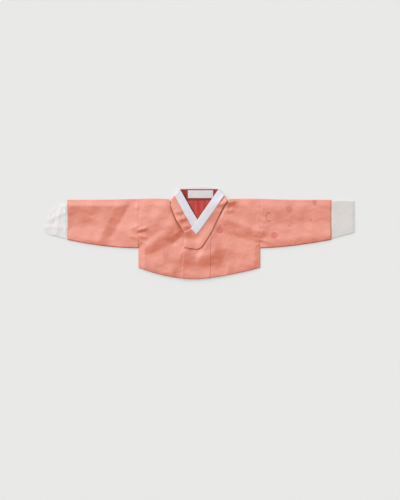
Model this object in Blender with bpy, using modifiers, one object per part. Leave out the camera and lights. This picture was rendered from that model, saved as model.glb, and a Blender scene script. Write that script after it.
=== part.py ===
"""A small child's jeogori, the short jacket of a hanbok, lying on its back with the fronts crossed.

Lengths are millimetres: x to the right and y towards the neck in a view from above, both from the middle of the
shoulder line, and z up from the surface that the jacket lies on. Left and right are those of that view. Each piece
is the outer face of its cloth with a Solidify wall inside it, and cloth() turns it into metres, with the middle of
the jacket's footprint at the origin.
"""

import math

import bpy
import numpy as np

MM = 0.001

# Walls, and the room between them
WALL = 1.0
COLLAR_WALL = 1.2
GAP = 0.3
INSIDE = 1.3  # between the inner faces of a sleeve or the body, at the folded edges
CUFF_INSIDE = 0.6
FOLD = 1.65  # outer radius in plan of a fold at the shoulder, a side seam or a sleeve seam
CUFF_FOLD = 1.3

# Body and sleeves, in plan
HALF_CHEST = 140.0
ARMHOLE_DEPTH = 111.3
SIDE_DEPTH = 156.4
HEM_DEPTH = 182.6
HEM_LOWEST_X = -8.0
HEM_CURVE = {-1: 1.9, 1: 1.45}
SHOULDER_RISE = 2.6
SHOULDER_RISE_X = 112.0
SHOULDER_RISE_REACH = 62.0
SLEEVE_END = 303.0
SLEEVE_END_DEPTH = 92.0
SLEEVE_CURVE = {-1: 1.9, 1: 1.6}
CENTRE_BACK_X = 2.5
BACK_NECK_Y = 5.0  # the back panels reach this far up under the collar
NECK_SIDE_X = {-1: 68.9, 1: 68.4}
FRONT_SEAM_X = {-1: (28.0, 28.0), 1: (25.3, 28.0)}  # seam to the overlap: at the hem, at its top

# Front necklines, (distance from the middle, y), tucked 7 mm under the collar lower down
NECKLINES = {
    -1: ((28.0, -72.0), (32.0, -67.0), (47.5, -41.5), (57.8, -20.0), (65.5, -10.0), (66.8, -5.0)),
    1: ((28.0, -59.0), (36.0, -42.0), (47.5, -20.0), (57.5, -12.5), (65.8, -5.5)),
}

# Overlap panels: top edge (x, y), then their outer and inner edges at the hem
INNER_OVERLAP_TOP = ((-27.7, -72.4), (-14.0, -95.0), (4.0, -117.0), (16.0, -120.0), (32.0, -112.0))
INNER_OVERLAP_HEM = (-27.7, 36.0)
OUTER_OVERLAP_TOP = (
    (-35.0, -102.0), (-20.0, -104.5), (-6.0, -106.0), (0.0, -103.0), (8.0, -94.0), (21.5, -73.0), (27.7, -59.4),
)
OUTER_OVERLAP_HEM = (-42.0, 25.0)
INNER_HEM_SHORTER = 2.0

# Collar band: (x, y) at its neck edge, then at its seam edge, for each section from a neck side to the end
COLLAR_RIGHT = (
    (46.5, 26.5, 67.6, -1.6),
    (29.5, 2.5, 54.5, -18.9),
    (12.4, -21.5, 42.1, -44.9),
    (-4.6, -45.5, 27.6, -75.7),
    (-12.0, -55.0, 13.8, -98.9),
    (-17.0, -61.5, 5.1, -110.9),
    (-21.0, -66.5, -5.8, -114.8),
    (-28.0, -70.0, -20.0, -112.8),
    (-35.0, -73.5, -35.0, -110.4),
)
COLLAR_LEFT = (
    (-47.0, 26.3, -68.0, -2.0),
    (-33.0, 2.4, -63.9, -19.0),
    (-19.0, -21.3, -53.6, -45.0),
    (-4.6, -45.5, -38.0, -71.0),
    (10.0, -70.0, -20.0, -99.0),
    (28.0, -98.0, 12.0, -128.0),
)

# White strip along the collar's neck edge, in the same form
STRIP_RIGHT = (
    (46.5, 26.5, 58.5, 10.5),
    (12.4, -21.5, 27.9, -32.5),
    (-4.6, -45.5, 10.9, -56.5),
    (-12.0, -55.0, 3.0, -67.3),
    (-19.5, -67.0, -6.7, -79.3),
)
STRIP_LEFT = (
    (-47.0, 26.3, -58.8, 10.4),
    (-19.0, -21.3, -35.4, -31.0),
    (-4.6, -45.5, -21.0, -55.2),
    (8.1, -67.0, -8.3, -76.7),
)
# Rise of the two edges of each band behind the neck, above a straight line between the neck sides
STRIP_ARCH = (4.3, 1.2)
COLLAR_ARCH = (0.0, 2.6)
NECK_FOLD_INSET = 3.2  # from a neck side's outline to where both bands begin to turn under
COLLAR_FOLD = 1.9
STRIP_FOLD = 3.2
COLLAR_BACK_Z = 1.3
COLLAR_FRONT_Z = 3.9
STRIP_FRONT_Z = 5.4

# Lining seen in the neck, and its gathers (x, half width, height, length)
LINING_BELOW_COLLAR = 0.5
LINING_LOW_Y = -72.0
LINING_HALF_WIDTH = (60.0, 22.0)
LINING_BOTTOM_Z = 1.3
GATHERS = (
    (-35.0, 4.0, 0.5, 30.0), (-25.0, 3.6, 0.8, 48.0), (-15.0, 4.2, 0.6, 36.0), (-5.5, 3.6, 1.0, 58.0),
    (9.0, 3.6, 0.9, 52.0), (18.5, 4.0, 0.6, 34.0), (28.0, 3.8, 0.8, 44.0), (37.5, 4.2, 0.5, 28.0),
)

LABEL_WIDTH = 58.0
LABEL_HEIGHT = 18.0
LABEL_CENTRE = (2.5, 12.8)
LABEL_BOTTOM_Z = 2.8

# Cuffs: the right one is neat, the left one lies crumpled
CUFF_START = SLEEVE_END + GAP
RIGHT_CUFF = ((CUFF_START, -90.0, -2.3), (356.0, -75.5, -2.3))  # x, lower y, upper y
LEFT_CUFF_START = (-91.0, -9.0)
LEFT_CUFF_END = (
    (-339.0, -81.6), (-349.4, -77.5), (-356.0, -63.7), (-350.5, -55.7),
    (-347.5, -41.9), (-342.5, -32.7), (-336.7, -21.2), (-320.6, -10.8),
)

# Soft folds of the upper layer: from (x1, y1) to (x2, y2), half width, height
FOLDS = (
    (-185.0, -8.0, -228.0, -96.0, 13.0, 1.9),
    (-298.0, -12.0, -236.0, -16.0, 14.0, 1.1),
    (-298.0, -76.0, -240.0, -88.0, 15.0, 1.4),
    (-160.0, -26.0, -150.0, -92.0, 13.0, 1.2),
    (-76.0, -14.0, -134.0, -50.0, 12.0, 1.6),
    (-62.0, -56.0, -132.0, -92.0, 11.0, 1.7),
    (-48.0, -110.0, -124.0, -138.0, 13.0, 1.2),
    (84.0, -8.0, 142.0, -40.0, 13.0, 1.4),
    (54.0, -46.0, 112.0, -66.0, 12.0, 1.5),
    (60.0, -112.0, 126.0, -104.0, 14.0, 1.2),
    (-24.0, -122.0, 22.0, -126.0, 10.0, 0.8),
    (168.0, -18.0, 236.0, -66.0, 15.0, 1.3),
    (226.0, -90.0, 294.0, -80.0, 14.0, 1.1),
)
CUFF_FOLDS = (
    (-306.0, -30.0, -344.0, -44.0, 7.0, 1.6),
    (-306.0, -66.0, -348.0, -62.0, 7.0, 1.8),
    (-318.0, -12.0, -330.0, -80.0, 6.0, 1.2),
    (306.0, -70.0, 352.0, -58.0, 10.0, 0.5),
)
FULLNESS = 1.0
MOST_LIFT = 2.4
EDGE_EASE = 16.0
COLLAR_EASE = 8.0  # the upper layer stays flat this far beyond the collar
NECK_LINES = (((66.0, 0.0), (10.0, -105.0)), ((-20.0, -99.0), (-68.0, 0.0)))

# How the stack of cloth is worked out
PILE_STEP = 2.0
DRAPE_REACH = 9.0
DRAPE_EASE = 4.0
EDGE_SLACK = 0.1  # share of a triangle past its edges that still counts as in it

# Counts of cells, and the length of a band's cells
FOLD_STEPS = 4
SIDE_ROWS = 5
ARMHOLE_ROWS = 12
SHOULDER_COLUMNS = 8
NECK_COLUMNS = 7
SLEEVE_RINGS = 17
SLEEVE_CELLS = 10
OVERLAP_COLUMNS = 8
OVERLAP_ROWS = 9
BAND_ROW = 8.0
BAND_COLUMNS = 4
BACK_BAND_ROWS = 8
CUFF_RINGS = 7
LINING_COLUMNS = 36
LINING_ROWS = 9
LABEL_COLUMNS = 4
LABEL_ROWS = 2
SHARP_ANGLE = 50.0

STRIP_TOP_Y = 28.9
MIDDLE_Y = (STRIP_TOP_Y - HEM_DEPTH) / 2

COLOURS = {
    "silk_coral": ((0.78, 0.30, 0.21), 0.5),
    "lining_red": ((0.51, 0.08, 0.065), 0.55),
    "cuff_white": ((0.72, 0.68, 0.66), 0.6),
    "strip_white": ((0.80, 0.79, 0.82), 0.5),
    "label_white": ((0.68, 0.66, 0.64), 0.8),
}


def ease(share):
    """A smooth step from 0 to 1."""
    share = np.clip(share, 0.0, 1.0)
    return share * share * (3.0 - 2.0 * share)


def by_side(x, table):
    """The left or the right value of a table for each x."""
    return np.where(np.asarray(x) < 0, table[-1], table[1])


def shoulder(x):
    """y of the folded shoulder line."""
    return SHOULDER_RISE * np.exp(-(((np.abs(x) - SHOULDER_RISE_X) / SHOULDER_RISE_REACH) ** 2))


def hem(x):
    """y of the hem, which hangs lowest near the middle."""
    reach = np.where(np.asarray(x) < HEM_LOWEST_X, HALF_CHEST + HEM_LOWEST_X, HALF_CHEST - HEM_LOWEST_X)
    curve = np.where(np.asarray(x) < HEM_LOWEST_X, HEM_CURVE[-1], HEM_CURVE[1])
    return -HEM_DEPTH + (HEM_DEPTH - SIDE_DEPTH) * (np.abs(x - HEM_LOWEST_X) / reach) ** curve


def sleeve_low(x):
    """y of a sleeve's lower seam, a shallow curve up from the armhole to the wrist."""
    along = np.clip((np.abs(x) - HALF_CHEST) / (SLEEVE_END - HALF_CHEST), 0.0, 1.0)
    return -ARMHOLE_DEPTH + (ARMHOLE_DEPTH - SLEEVE_END_DEPTH) * along ** by_side(x, SLEEVE_CURVE)


def ridges(x, y, table):
    """Height of the soft folds in a table at each point."""
    height = np.zeros(np.shape(x))
    for x1, y1, x2, y2, width, rise in table:
        run = np.array((x2 - x1, y2 - y1))
        along = np.clip(((x - x1) * run[0] + (y - y1) * run[1]) / (run @ run), 0.0, 1.0)
        away = np.hypot(x - x1 - along * run[0], y - y1 - along * run[1])
        height += rise * np.exp(-((away / width) ** 2))
    return height


def beyond_collar(x, y):
    """How far each point lies outside the wedge that the two collar bands make."""
    outside = []
    for (x1, y1), (x2, y2) in NECK_LINES:
        length = math.hypot(x2 - x1, y2 - y1)
        outside.append(((x - x1) * (y1 - y2) + (y - y1) * (x2 - x1)) / length)
    return np.maximum(*outside)


def lift(x, y):
    """How far the upper layer of the body and sleeves stands above its height at the folded edges."""
    on_sleeve = np.abs(x) > HALF_CHEST
    to_low = y - np.where(on_sleeve, sleeve_low(x), hem(x))
    to_side = np.hypot(HALF_CHEST - np.abs(x), np.maximum(0.0, y + ARMHOLE_DEPTH))
    to_side = np.where(on_sleeve, EDGE_EASE, to_side)
    eased = ease((shoulder(x) - y) / EDGE_EASE) * ease(to_low / EDGE_EASE)
    eased = eased * ease(to_side / EDGE_EASE) * ease((beyond_collar(x, y) - COLLAR_EASE) / EDGE_EASE)
    return eased * MOST_LIFT * np.tanh((FULLNESS + ridges(x, y, FOLDS)) / MOST_LIFT)


def with_z(plan, z):
    """Rows of (x, y) given a height each."""
    return np.dstack((plan, np.broadcast_to(z, plan.shape[:2])))


class Pile:
    """The top of the cloth laid so far, on a square grid over the body. The next piece is laid on it."""

    def __init__(self):
        self.xs = np.arange(-HALF_CHEST - 10.0, HALF_CHEST + 10.0, PILE_STEP)
        self.ys = np.arange(-HEM_DEPTH - 10.0, 50.0, PILE_STEP)
        self.height = np.zeros((len(self.ys), len(self.xs)))

    def add(self, grid):
        """Raises the pile to a piece's top face, given as rows of points."""
        for row, following in zip(grid[:-1], grid[1:]):
            for a, b, c, d in zip(row[:-1], row[1:], following[1:], following[:-1]):
                self.add_triangle(a, b, c)
                self.add_triangle(a, c, d)

    def add_triangle(self, a, b, c):
        low = np.min((a, b, c), axis=0) - PILE_STEP
        high = np.max((a, b, c), axis=0) + PILE_STEP
        columns = slice(*np.searchsorted(self.xs, (low[0], high[0])))
        rows = slice(*np.searchsorted(self.ys, (low[1], high[1])))
        x, y = np.meshgrid(self.xs[columns] - a[0], self.ys[rows] - a[1])
        u, v = b - a, c - a
        area = u[0] * v[1] - u[1] * v[0]
        if abs(area) < 1e-6:
            return
        share_b = (x * v[1] - y * v[0]) / area
        share_c = (u[0] * y - u[1] * x) / area
        inside = (share_b > -EDGE_SLACK) & (share_c > -EDGE_SLACK) & (share_b + share_c < 1 + EDGE_SLACK)
        z = np.where(inside, a[2] + share_b * u[2] + share_c * v[2], 0.0)
        self.height[rows, columns] = np.maximum(self.height[rows, columns], z)

    def around(self, height, reach, combine):
        """Each cell's neighbours within reach, combined into one value."""
        cells = round(reach / PILE_STEP)
        padded = np.pad(height, cells, mode="edge")
        rows, columns = height.shape
        near = [
            padded[i : i + rows, j : j + columns]
            for i in range(2 * cells + 1)
            for j in range(2 * cells + 1)
            if math.hypot(i - cells, j - cells) <= cells
        ]
        return combine(np.stack(near), axis=0)

    def under(self, plan):
        """The height that a piece clears at each (x, y): cloth is too stiff to drop off an edge at once."""
        bridged = self.around(self.height, DRAPE_REACH, np.max)
        eased = self.around(bridged, DRAPE_EASE, np.mean)
        column = (plan[..., 0] - self.xs[0]) / PILE_STEP
        row = (plan[..., 1] - self.ys[0]) / PILE_STEP
        i, j = row.astype(int), column.astype(int)
        up, right = row - i, column - j
        lower = eased[i, j] * (1 - right) + eased[i, j + 1] * right
        upper = eased[i + 1, j] * (1 - right) + eased[i + 1, j + 1] * right
        return lower * (1 - up) + upper * up

    def lay(self, plan, wall, lowest):
        """The top face of a piece laid on the pile, its under side at lowest or higher. It joins the pile."""
        bottom = np.maximum(self.under(plan) + GAP, lowest)
        top = with_z(plan, bottom + wall)
        self.add(top)
        return top


class Face:
    """The outer face of one piece of cloth, gathered from grids that may share their edges."""

    def __init__(self):
        self.points = []
        self.quads = []

    def add(self, grid):
        """Takes rows of points and returns their numbers in the same rows."""
        first = len(self.points)
        self.points.extend(grid.reshape(-1, 3))
        return np.arange(first, len(self.points)).reshape(grid.shape[:2])

    def cover(self, numbers, turned=False):
        """Fills rows of point numbers with quads. They look up where rows go up and columns go right."""
        if turned:
            numbers = numbers[:, ::-1]
        for row, following in zip(numbers[:-1], numbers[1:]):
            for corners in zip(row[:-1], row[1:], following[1:], following[:-1]):
                self.quads.append([int(corner) for corner in corners])


def cloth(name, face, wall, material):
    """A node from an outer face, with its wall inside."""
    mesh = bpy.data.meshes.new(name)
    points = [(x * MM, (y - MIDDLE_Y) * MM, z * MM) for x, y, z in face.points]
    mesh.from_pydata(points, [], face.quads)
    mesh.materials.append(bpy.data.materials[material])
    mesh.shade_smooth()
    mesh.set_sharp_from_angle(angle=math.radians(SHARP_ANGLE))
    piece = bpy.data.objects.new(name, mesh)
    bpy.data.collections["jeogori"].objects.link(piece)
    solid = piece.modifiers.new("wall", "SOLIDIFY")
    solid.thickness = wall * MM
    solid.offset = -1.0
    solid.use_even_offset = True
    solid.use_quality_normals = True
    return piece


def turn(under, upper, outward, radius):
    """Rows round a fold, between a line of points of the lower layer and the same line of the upper one."""
    rows = []
    for step in range(1, FOLD_STEPS):
        angle = math.pi * step / FOLD_STEPS
        row = under.copy()
        row[..., :2] += outward * radius * math.sin(angle)
        row[..., 2] += (upper[..., 2] - under[..., 2]) * (1 - math.cos(angle)) / 2
        rows.append(row)
    return np.array(rows)


def body_plan(side, x_hem, x_top, y_top):
    """Rows of (x, y) from hem to top over one half of the body, a column for each pair of x."""
    low = SIDE_DEPTH - ARMHOLE_DEPTH
    share = np.concatenate((
        np.linspace(0, low / SIDE_DEPTH, SIDE_ROWS, endpoint=False),
        np.linspace(low / SIDE_DEPTH, 1, ARMHOLE_ROWS + 1),
    ))[:, None]
    y_hem = hem(side * x_hem)
    x = side * (x_hem + (x_top - x_hem) * share)
    y = y_hem + (y_top - y_hem) * share
    x[: SIDE_ROWS + 1, 0] -= side * FOLD
    return np.dstack((x, y))


def half_body_plans(side):
    """Plans of the back and of the front of one half, alike as far as the neck's side."""
    neck_side = NECK_SIDE_X[side]
    across = np.linspace(HALF_CHEST, neck_side, SHOULDER_COLUMNS)
    shoulder_y = shoulder(across) - FOLD
    back_end = GAP / 2 + side * CENTRE_BACK_X
    to_middle = np.linspace(neck_side, back_end, NECK_COLUMNS + 1)[1:]
    back_x = np.append(across, to_middle)
    back_top = np.append(shoulder_y, np.full(NECK_COLUMNS, BACK_NECK_Y))
    back = body_plan(side, back_x, back_x, back_top)
    seam_hem, seam_top = FRONT_SEAM_X[side]
    hem_x = np.append(across, np.linspace(neck_side, seam_hem, NECK_COLUMNS + 1)[1:])
    top_x = np.append(across, np.linspace(neck_side, seam_top, NECK_COLUMNS + 1)[1:])
    line_x, line_y = zip(*NECKLINES[side], (neck_side, shoulder_y[-1]))
    front_y = np.append(shoulder_y, np.interp(top_x[SHOULDER_COLUMNS:], line_x, line_y))
    return back, body_plan(side, hem_x, top_x, front_y)


def body(side, back_plan, front):
    """One half of the body: its back flat on the surface, folded at the shoulder, and its front."""
    face = Face()
    back = with_z(back_plan, 0.0)
    back_numbers = face.add(back)
    front_numbers = face.add(front)
    face.cover(back_numbers, turned=side < 0)
    face.cover(front_numbers, turned=side > 0)
    shared = slice(0, SHOULDER_COLUMNS)
    over = turn(back[-1, shared], front[-1, shared], np.array((0.0, 1.0)), FOLD)
    over_numbers = face.add(over)
    strip = np.vstack((back_numbers[-1:, shared], over_numbers, front_numbers[-1:, shared]))
    face.cover(strip, turned=side < 0)
    seam = slice(0, SIDE_ROWS + 1)
    round_side = turn(back[seam, 0], front[seam, 0], np.array((float(side), 0.0)), FOLD)
    side_numbers = face.add(round_side)
    strip = np.vstack((back_numbers[None, seam, 0], side_numbers, front_numbers[None, seam, 0]))
    face.cover(strip, turned=side < 0)
    name = "body_left" if side < 0 else "body_right"
    return cloth(name, face, WALL, "silk_coral")


def overlap_plan(top, hem_ends, shorter):
    """Rows of (x, y) from the hem to the neckline over a panel added to a front's edge."""
    share = np.linspace(0, 1, OVERLAP_ROWS + 1)[:, None]
    top_x, top_y = np.array(top).T
    x_top = np.linspace(top_x[0], top_x[-1], OVERLAP_COLUMNS + 1)
    y_top = np.interp(x_top, top_x, top_y)
    x_hem = np.linspace(*hem_ends, OVERLAP_COLUMNS + 1)
    y_hem = hem(x_hem) + shorter
    return np.dstack((x_hem + (x_top - x_hem) * share, y_hem + (y_top - y_hem) * share))


def single_layer(name, top, wall, material):
    """A node from the top face of one layer."""
    face = Face()
    face.cover(face.add(top))
    return cloth(name, face, wall, material)


def flat_tube(name, plan, inside, fold, rise, turned):
    """A sleeve or cuff pressed flat: plan holds, for each ring, (x, y) from its lower edge to its upper edge."""
    inner = plan.copy()
    for edge, neighbour in ((0, 1), (-1, -2)):
        inward = plan[:, neighbour] - plan[:, edge]
        inner[:, edge] += fold * inward / np.linalg.norm(inward, axis=1)[:, None]
    outward = [(plan[:, edge] - inner[:, edge]) / fold for edge in (0, -1)]
    under = with_z(inner, 0.0)
    upper = with_z(inner, 2 * WALL + inside + rise(inner[..., 0], inner[..., 1]))
    over = turn(under[:, -1], upper[:, -1], outward[1], fold)
    back = turn(upper[:, 0], under[:, 0], outward[0], fold)
    ring = np.concatenate(
        (under, over.transpose(1, 0, 2), upper[:, ::-1], back.transpose(1, 0, 2)), axis=1
    )
    face = Face()
    numbers = face.add(ring)
    face.cover(np.column_stack((numbers, numbers[:, 0])), turned)
    return name, face


def sleeve(side):
    """One sleeve, from the armhole to the cuff."""
    x = side * np.linspace(HALF_CHEST + GAP, SLEEVE_END, SLEEVE_RINGS)
    share = np.linspace(0, 1, SLEEVE_CELLS + 1)
    low, high = sleeve_low(x)[:, None], shoulder(x)[:, None]
    y = low + (high - low) * share
    plan = np.dstack((np.broadcast_to(x[:, None], y.shape), y))
    name = "sleeve_left" if side < 0 else "sleeve_right"
    return cloth(*flat_tube(name, plan, INSIDE, FOLD, lift, side < 0), WALL, "silk_coral")


def cuff_lift(x, y):
    """Crumples of a cuff's upper layer, which its folded edges don't have."""
    inside = np.ones(np.shape(x))
    inside[:, (0, -1)] = 0.0
    return inside * ridges(x, y, CUFF_FOLDS)


def cuffs():
    """Both cuffs, each from a straight line at its sleeve to the line that its end makes."""
    cells = len(LEFT_CUFF_END) - 1
    along = np.linspace(0, 1, CUFF_RINGS)[:, None, None]
    share = np.linspace(0, 1, cells + 1)
    ends = []
    for x, low, high in RIGHT_CUFF:
        ends.append(np.column_stack((np.full(cells + 1, x), low + (high - low) * share)))
    right = ends[0] + (ends[1] - ends[0]) * along
    low, high = LEFT_CUFF_START
    start = np.column_stack((np.full(cells + 1, -CUFF_START), low + (high - low) * share))
    left = start + (np.array(LEFT_CUFF_END) - start) * along
    for name, plan, turned in (("cuff_left", left, True), ("cuff_right", right, False)):
        made = flat_tube(name, plan, CUFF_INSIDE, CUFF_FOLD, cuff_lift, turned)
        cloth(*made, WALL, "cuff_white")


def inset_section(section, outward):
    """A neck side's section moved in to where the band starts to turn under."""
    shift = np.tile(outward * NECK_FOLD_INSET, 2)
    return np.array(section) - shift


def band_plan(sections, outward):
    """Rows of (x, y) across a band, from its neck side to its end."""
    sections = np.array((inset_section(sections[0], outward), *sections[1:]))
    middle = (sections[:, :2] + sections[:, 2:]) / 2
    rows = [sections[0]]
    for start, end, length in zip(sections, sections[1:], np.linalg.norm(np.diff(middle, axis=0), axis=1)):
        count = math.ceil(length / BAND_ROW)
        rows.extend(start + (end - start) * step / count for step in range(1, count + 1))
    return across_band(np.array(rows))


def across_band(rows):
    """The points across a band at each of its sections."""
    share = np.linspace(0, 1, BAND_COLUMNS + 1)[:, None]
    return np.array([row[:2] + (row[2:] - row[:2]) * share for row in rows])


def neck_outward(section):
    """The direction in plan that a neck side's fold faces."""
    x1, y1, x2, y2 = section
    side = -1 if x1 < 0 else 1
    return side * np.array((y1 - y2, x2 - x1)) / math.hypot(x2 - x1, y2 - y1)


def back_rows(right_sections, left_sections, arch, share):
    """Sections of a band behind the neck, at shares of the way from the right neck side to the left one."""
    first, last = (
        inset_section(sections[0], neck_outward(sections[0])) for sections in (right_sections, left_sections)
    )
    rows = first + (last - first) * share[:, None]
    bow = 1 - np.abs(2 * share - 1) ** 3
    rows[:, 1] += arch[0] * bow
    rows[:, 3] += arch[1] * bow
    return rows


def band(name, right, left, right_sections, left_sections, back_z, arch, fold, wall, material):
    """A band laid round the neck: down the right front, behind the neck face down, and down the left front."""
    right_out, left_out = neck_outward(right_sections[0]), neck_outward(left_sections[0])
    share = np.linspace(0, 1, BACK_BAND_ROWS + 1)
    behind = with_z(across_band(back_rows(right_sections, left_sections, arch, share)), back_z)
    right_turn = turn(behind[0], right[0], right_out, fold)[::-1]
    left_turn = turn(behind[-1], left[0], left_out, fold)
    face = Face()
    face.cover(face.add(np.concatenate((right[::-1], right_turn, behind, left_turn, left))))
    return cloth(name, face, wall, material)


def lining_top():
    """Top face of the lining seen in the neck, gathered where it meets the collar."""
    share = np.linspace(0, 1, LINING_ROWS + 1)[:, None]
    seam = back_rows(COLLAR_RIGHT, COLLAR_LEFT, COLLAR_ARCH, np.linspace(0, 1, LINING_COLUMNS + 1))
    half = LINING_HALF_WIDTH[1] + (LINING_HALF_WIDTH[0] - LINING_HALF_WIDTH[1]) * share
    x = half * np.linspace(-1, 1, LINING_COLUMNS + 1)
    top_y = np.interp(x[-1], seam[::-1, 2], seam[::-1, 3]) - LINING_BELOW_COLLAR
    y = LINING_LOW_Y + (top_y - LINING_LOW_Y) * share
    z = np.full(x.shape, LINING_BOTTOM_Z + WALL)
    for centre, width, height, length in GATHERS:
        fading = ease(1 - (top_y - y) / length)
        z = z + height * fading * np.exp(-(((x - centre) / width) ** 2))
    return np.dstack((x, y, z))


def label_top():
    """Top face of the label on the back of the collar."""
    x = LABEL_CENTRE[0] + np.linspace(-LABEL_WIDTH, LABEL_WIDTH, LABEL_COLUMNS + 1) / 2
    y = LABEL_CENTRE[1] + np.linspace(-LABEL_HEIGHT, LABEL_HEIGHT, LABEL_ROWS + 1) / 2
    return with_z(np.dstack(np.meshgrid(x, y)), LABEL_BOTTOM_Z + WALL)


def lay_torso():
    """Lays the body, overlaps, collar and strip one on another, from the back up."""
    pile = Pile()
    lining = lining_top()
    pile.add(lining)
    plans = {side: half_body_plans(side) for side in (-1, 1)}
    layer_bottom = WALL + INSIDE

    def lay_panel(plan):
        return pile.lay(plan, WALL, layer_bottom + lift(plan[..., 0], plan[..., 1]))

    left_front = lay_panel(plans[-1][1])
    inner_overlap = lay_panel(overlap_plan(INNER_OVERLAP_TOP, INNER_OVERLAP_HEM, INNER_HEM_SHORTER))
    left_out, right_out = neck_outward(COLLAR_LEFT[0]), neck_outward(COLLAR_RIGHT[0])
    left_collar = pile.lay(band_plan(COLLAR_LEFT, left_out), COLLAR_WALL, COLLAR_FRONT_Z)
    left_strip = pile.lay(band_plan(STRIP_LEFT, left_out), WALL, STRIP_FRONT_Z)
    right_front = lay_panel(plans[1][1])
    outer_overlap = lay_panel(overlap_plan(OUTER_OVERLAP_TOP, OUTER_OVERLAP_HEM, 0.0))
    right_collar = pile.lay(band_plan(COLLAR_RIGHT, right_out), COLLAR_WALL, COLLAR_FRONT_Z)
    right_strip = pile.lay(band_plan(STRIP_RIGHT, right_out), WALL, STRIP_FRONT_Z)

    body(-1, plans[-1][0], left_front)
    body(1, plans[1][0], right_front)
    single_layer("overlap_inner", inner_overlap, WALL, "silk_coral")
    single_layer("overlap_outer", outer_overlap, WALL, "silk_coral")
    single_layer("lining_back", lining, WALL, "lining_red")
    single_layer("label", label_top(), WALL, "label_white")
    band("collar", right_collar, left_collar, COLLAR_RIGHT, COLLAR_LEFT, COLLAR_BACK_Z, COLLAR_ARCH,
         COLLAR_FOLD, COLLAR_WALL, "silk_coral")
    band("collar_strip", right_strip, left_strip, STRIP_RIGHT, STRIP_LEFT, 0.0, STRIP_ARCH,
         STRIP_FOLD, WALL, "strip_white")


def make_materials():
    """One material for each cloth of the jacket."""
    for name, (colour, roughness) in COLOURS.items():
        material = bpy.data.materials.new(name)
        material.use_nodes = True
        surface = material.node_tree.nodes["Principled BSDF"]
        surface.inputs["Base Color"].default_value = (*colour, 1.0)
        surface.inputs["Roughness"].default_value = roughness
        surface.inputs["Metallic"].default_value = 0.0


def main():
    for thing in list(bpy.data.objects):
        bpy.data.objects.remove(thing)
    bpy.context.scene.collection.children.link(bpy.data.collections.new("jeogori"))
    make_materials()
    lay_torso()
    for side in (-1, 1):
        sleeve(side)
    cuffs()


main()
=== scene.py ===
# %% [markdown]
# A small child's jeogori, the short jacket of a hanbok, lying on its back on a pale table and seen from
# straight above. The real one is coral satin damask with a red lining, a stiff white strip round the neck
# and thin white cuffs. Everything here is worked out on the flat cut of each piece, as a maker would, and
# then laid down one piece on another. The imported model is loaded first: it says where each piece is and how
# big it may be.

# %% Load the frame
import functools
import math

import bpy
import numpy as np
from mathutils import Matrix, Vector


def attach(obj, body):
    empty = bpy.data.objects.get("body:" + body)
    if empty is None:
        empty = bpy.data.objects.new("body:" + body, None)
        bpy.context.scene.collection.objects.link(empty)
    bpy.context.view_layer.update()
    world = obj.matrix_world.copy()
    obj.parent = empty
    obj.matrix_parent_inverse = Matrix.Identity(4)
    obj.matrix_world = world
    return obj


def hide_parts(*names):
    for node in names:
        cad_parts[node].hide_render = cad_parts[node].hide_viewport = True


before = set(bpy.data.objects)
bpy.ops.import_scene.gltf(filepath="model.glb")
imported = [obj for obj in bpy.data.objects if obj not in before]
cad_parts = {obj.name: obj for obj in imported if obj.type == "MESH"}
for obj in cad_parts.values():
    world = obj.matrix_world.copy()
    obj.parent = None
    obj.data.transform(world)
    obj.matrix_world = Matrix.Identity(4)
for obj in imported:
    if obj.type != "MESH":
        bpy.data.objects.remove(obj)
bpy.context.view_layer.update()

# %% [markdown]
# A garment is easier to think about in millimetres from the middle of its shoulder line, so the measures
# below are in that frame: x to the right, y towards the neck, z up. Only the last step of each piece turns
# them into metres in the frame of the model. These are the measures of the pattern pieces, the same as the
# model's own.

# %% Measures of the cut
MM = 0.001
MIDDLE_Y = -76.85
LAYER = 1.0  # height that one layer of lined cloth takes in the stack
CLOTH = 0.8  # thickness of the satin and its lining
BAND = 1.1  # thickness of the interlined collar
GAP = 0.3  # kept between pieces that lie on each other
SEAM_GAP = 0.1  # between a sleeve and the body
INSIDE = 1.3  # room between two layers beside their fold
FOLD = 1.65  # how far a fold reaches out in plan
HALF_CHEST = 140.0
ARMHOLE_DEPTH = 111.3
SIDE_DEPTH = 156.4
HEM_DEPTH = 182.6
HEM_LOWEST_X = -8.0
HEM_CURVE = {-1: 1.9, 1: 1.45}  # here and below, -1 is the left side and 1 the right one
SLEEVE_END = 303.0
SLEEVE_END_DEPTH = 92.0
SLEEVE_CURVE = {-1: 1.9, 1: 1.6}
SHOULDER_RISE = 2.6
SHOULDER_X = 112.0  # where each shoulder is highest
SHOULDER_SPREAD = 62.0
CENTRE_BACK_X = 2.5
BACK_NECK_Y = 5.0
NECK_SIDE_X = {-1: 68.9, 1: 68.4}
FRONT_SEAM_X = {-1: (28.0, 28.0), 1: (25.3, 28.0)}
NECKLINES = {
    -1: ((28.0, -72.0), (32.0, -67.0), (47.5, -41.5), (57.8, -20.0), (65.5, -10.0), (66.8, -5.0)),
    1: ((28.0, -59.0), (36.0, -42.0), (47.5, -20.0), (57.5, -12.5), (65.8, -5.5)),
}


def ease(share):
    """A smooth step from 0 to 1."""
    share = np.clip(share, 0.0, 1.0)
    return share * share * (3.0 - 2.0 * share)


def shoulder(x):
    """y of the folded shoulder line, which rises a little over each shoulder."""
    return SHOULDER_RISE * np.exp(-(((np.abs(x) - SHOULDER_X) / SHOULDER_SPREAD) ** 2))


def hem(x):
    """y of the hem, which hangs lowest near the middle."""
    left = np.asarray(x) < HEM_LOWEST_X
    reach = np.where(left, HALF_CHEST + HEM_LOWEST_X, HALF_CHEST - HEM_LOWEST_X)
    curve = np.where(left, HEM_CURVE[-1], HEM_CURVE[1])
    return -HEM_DEPTH + (HEM_DEPTH - SIDE_DEPTH) * (np.abs(x - HEM_LOWEST_X) / reach) ** curve


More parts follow.
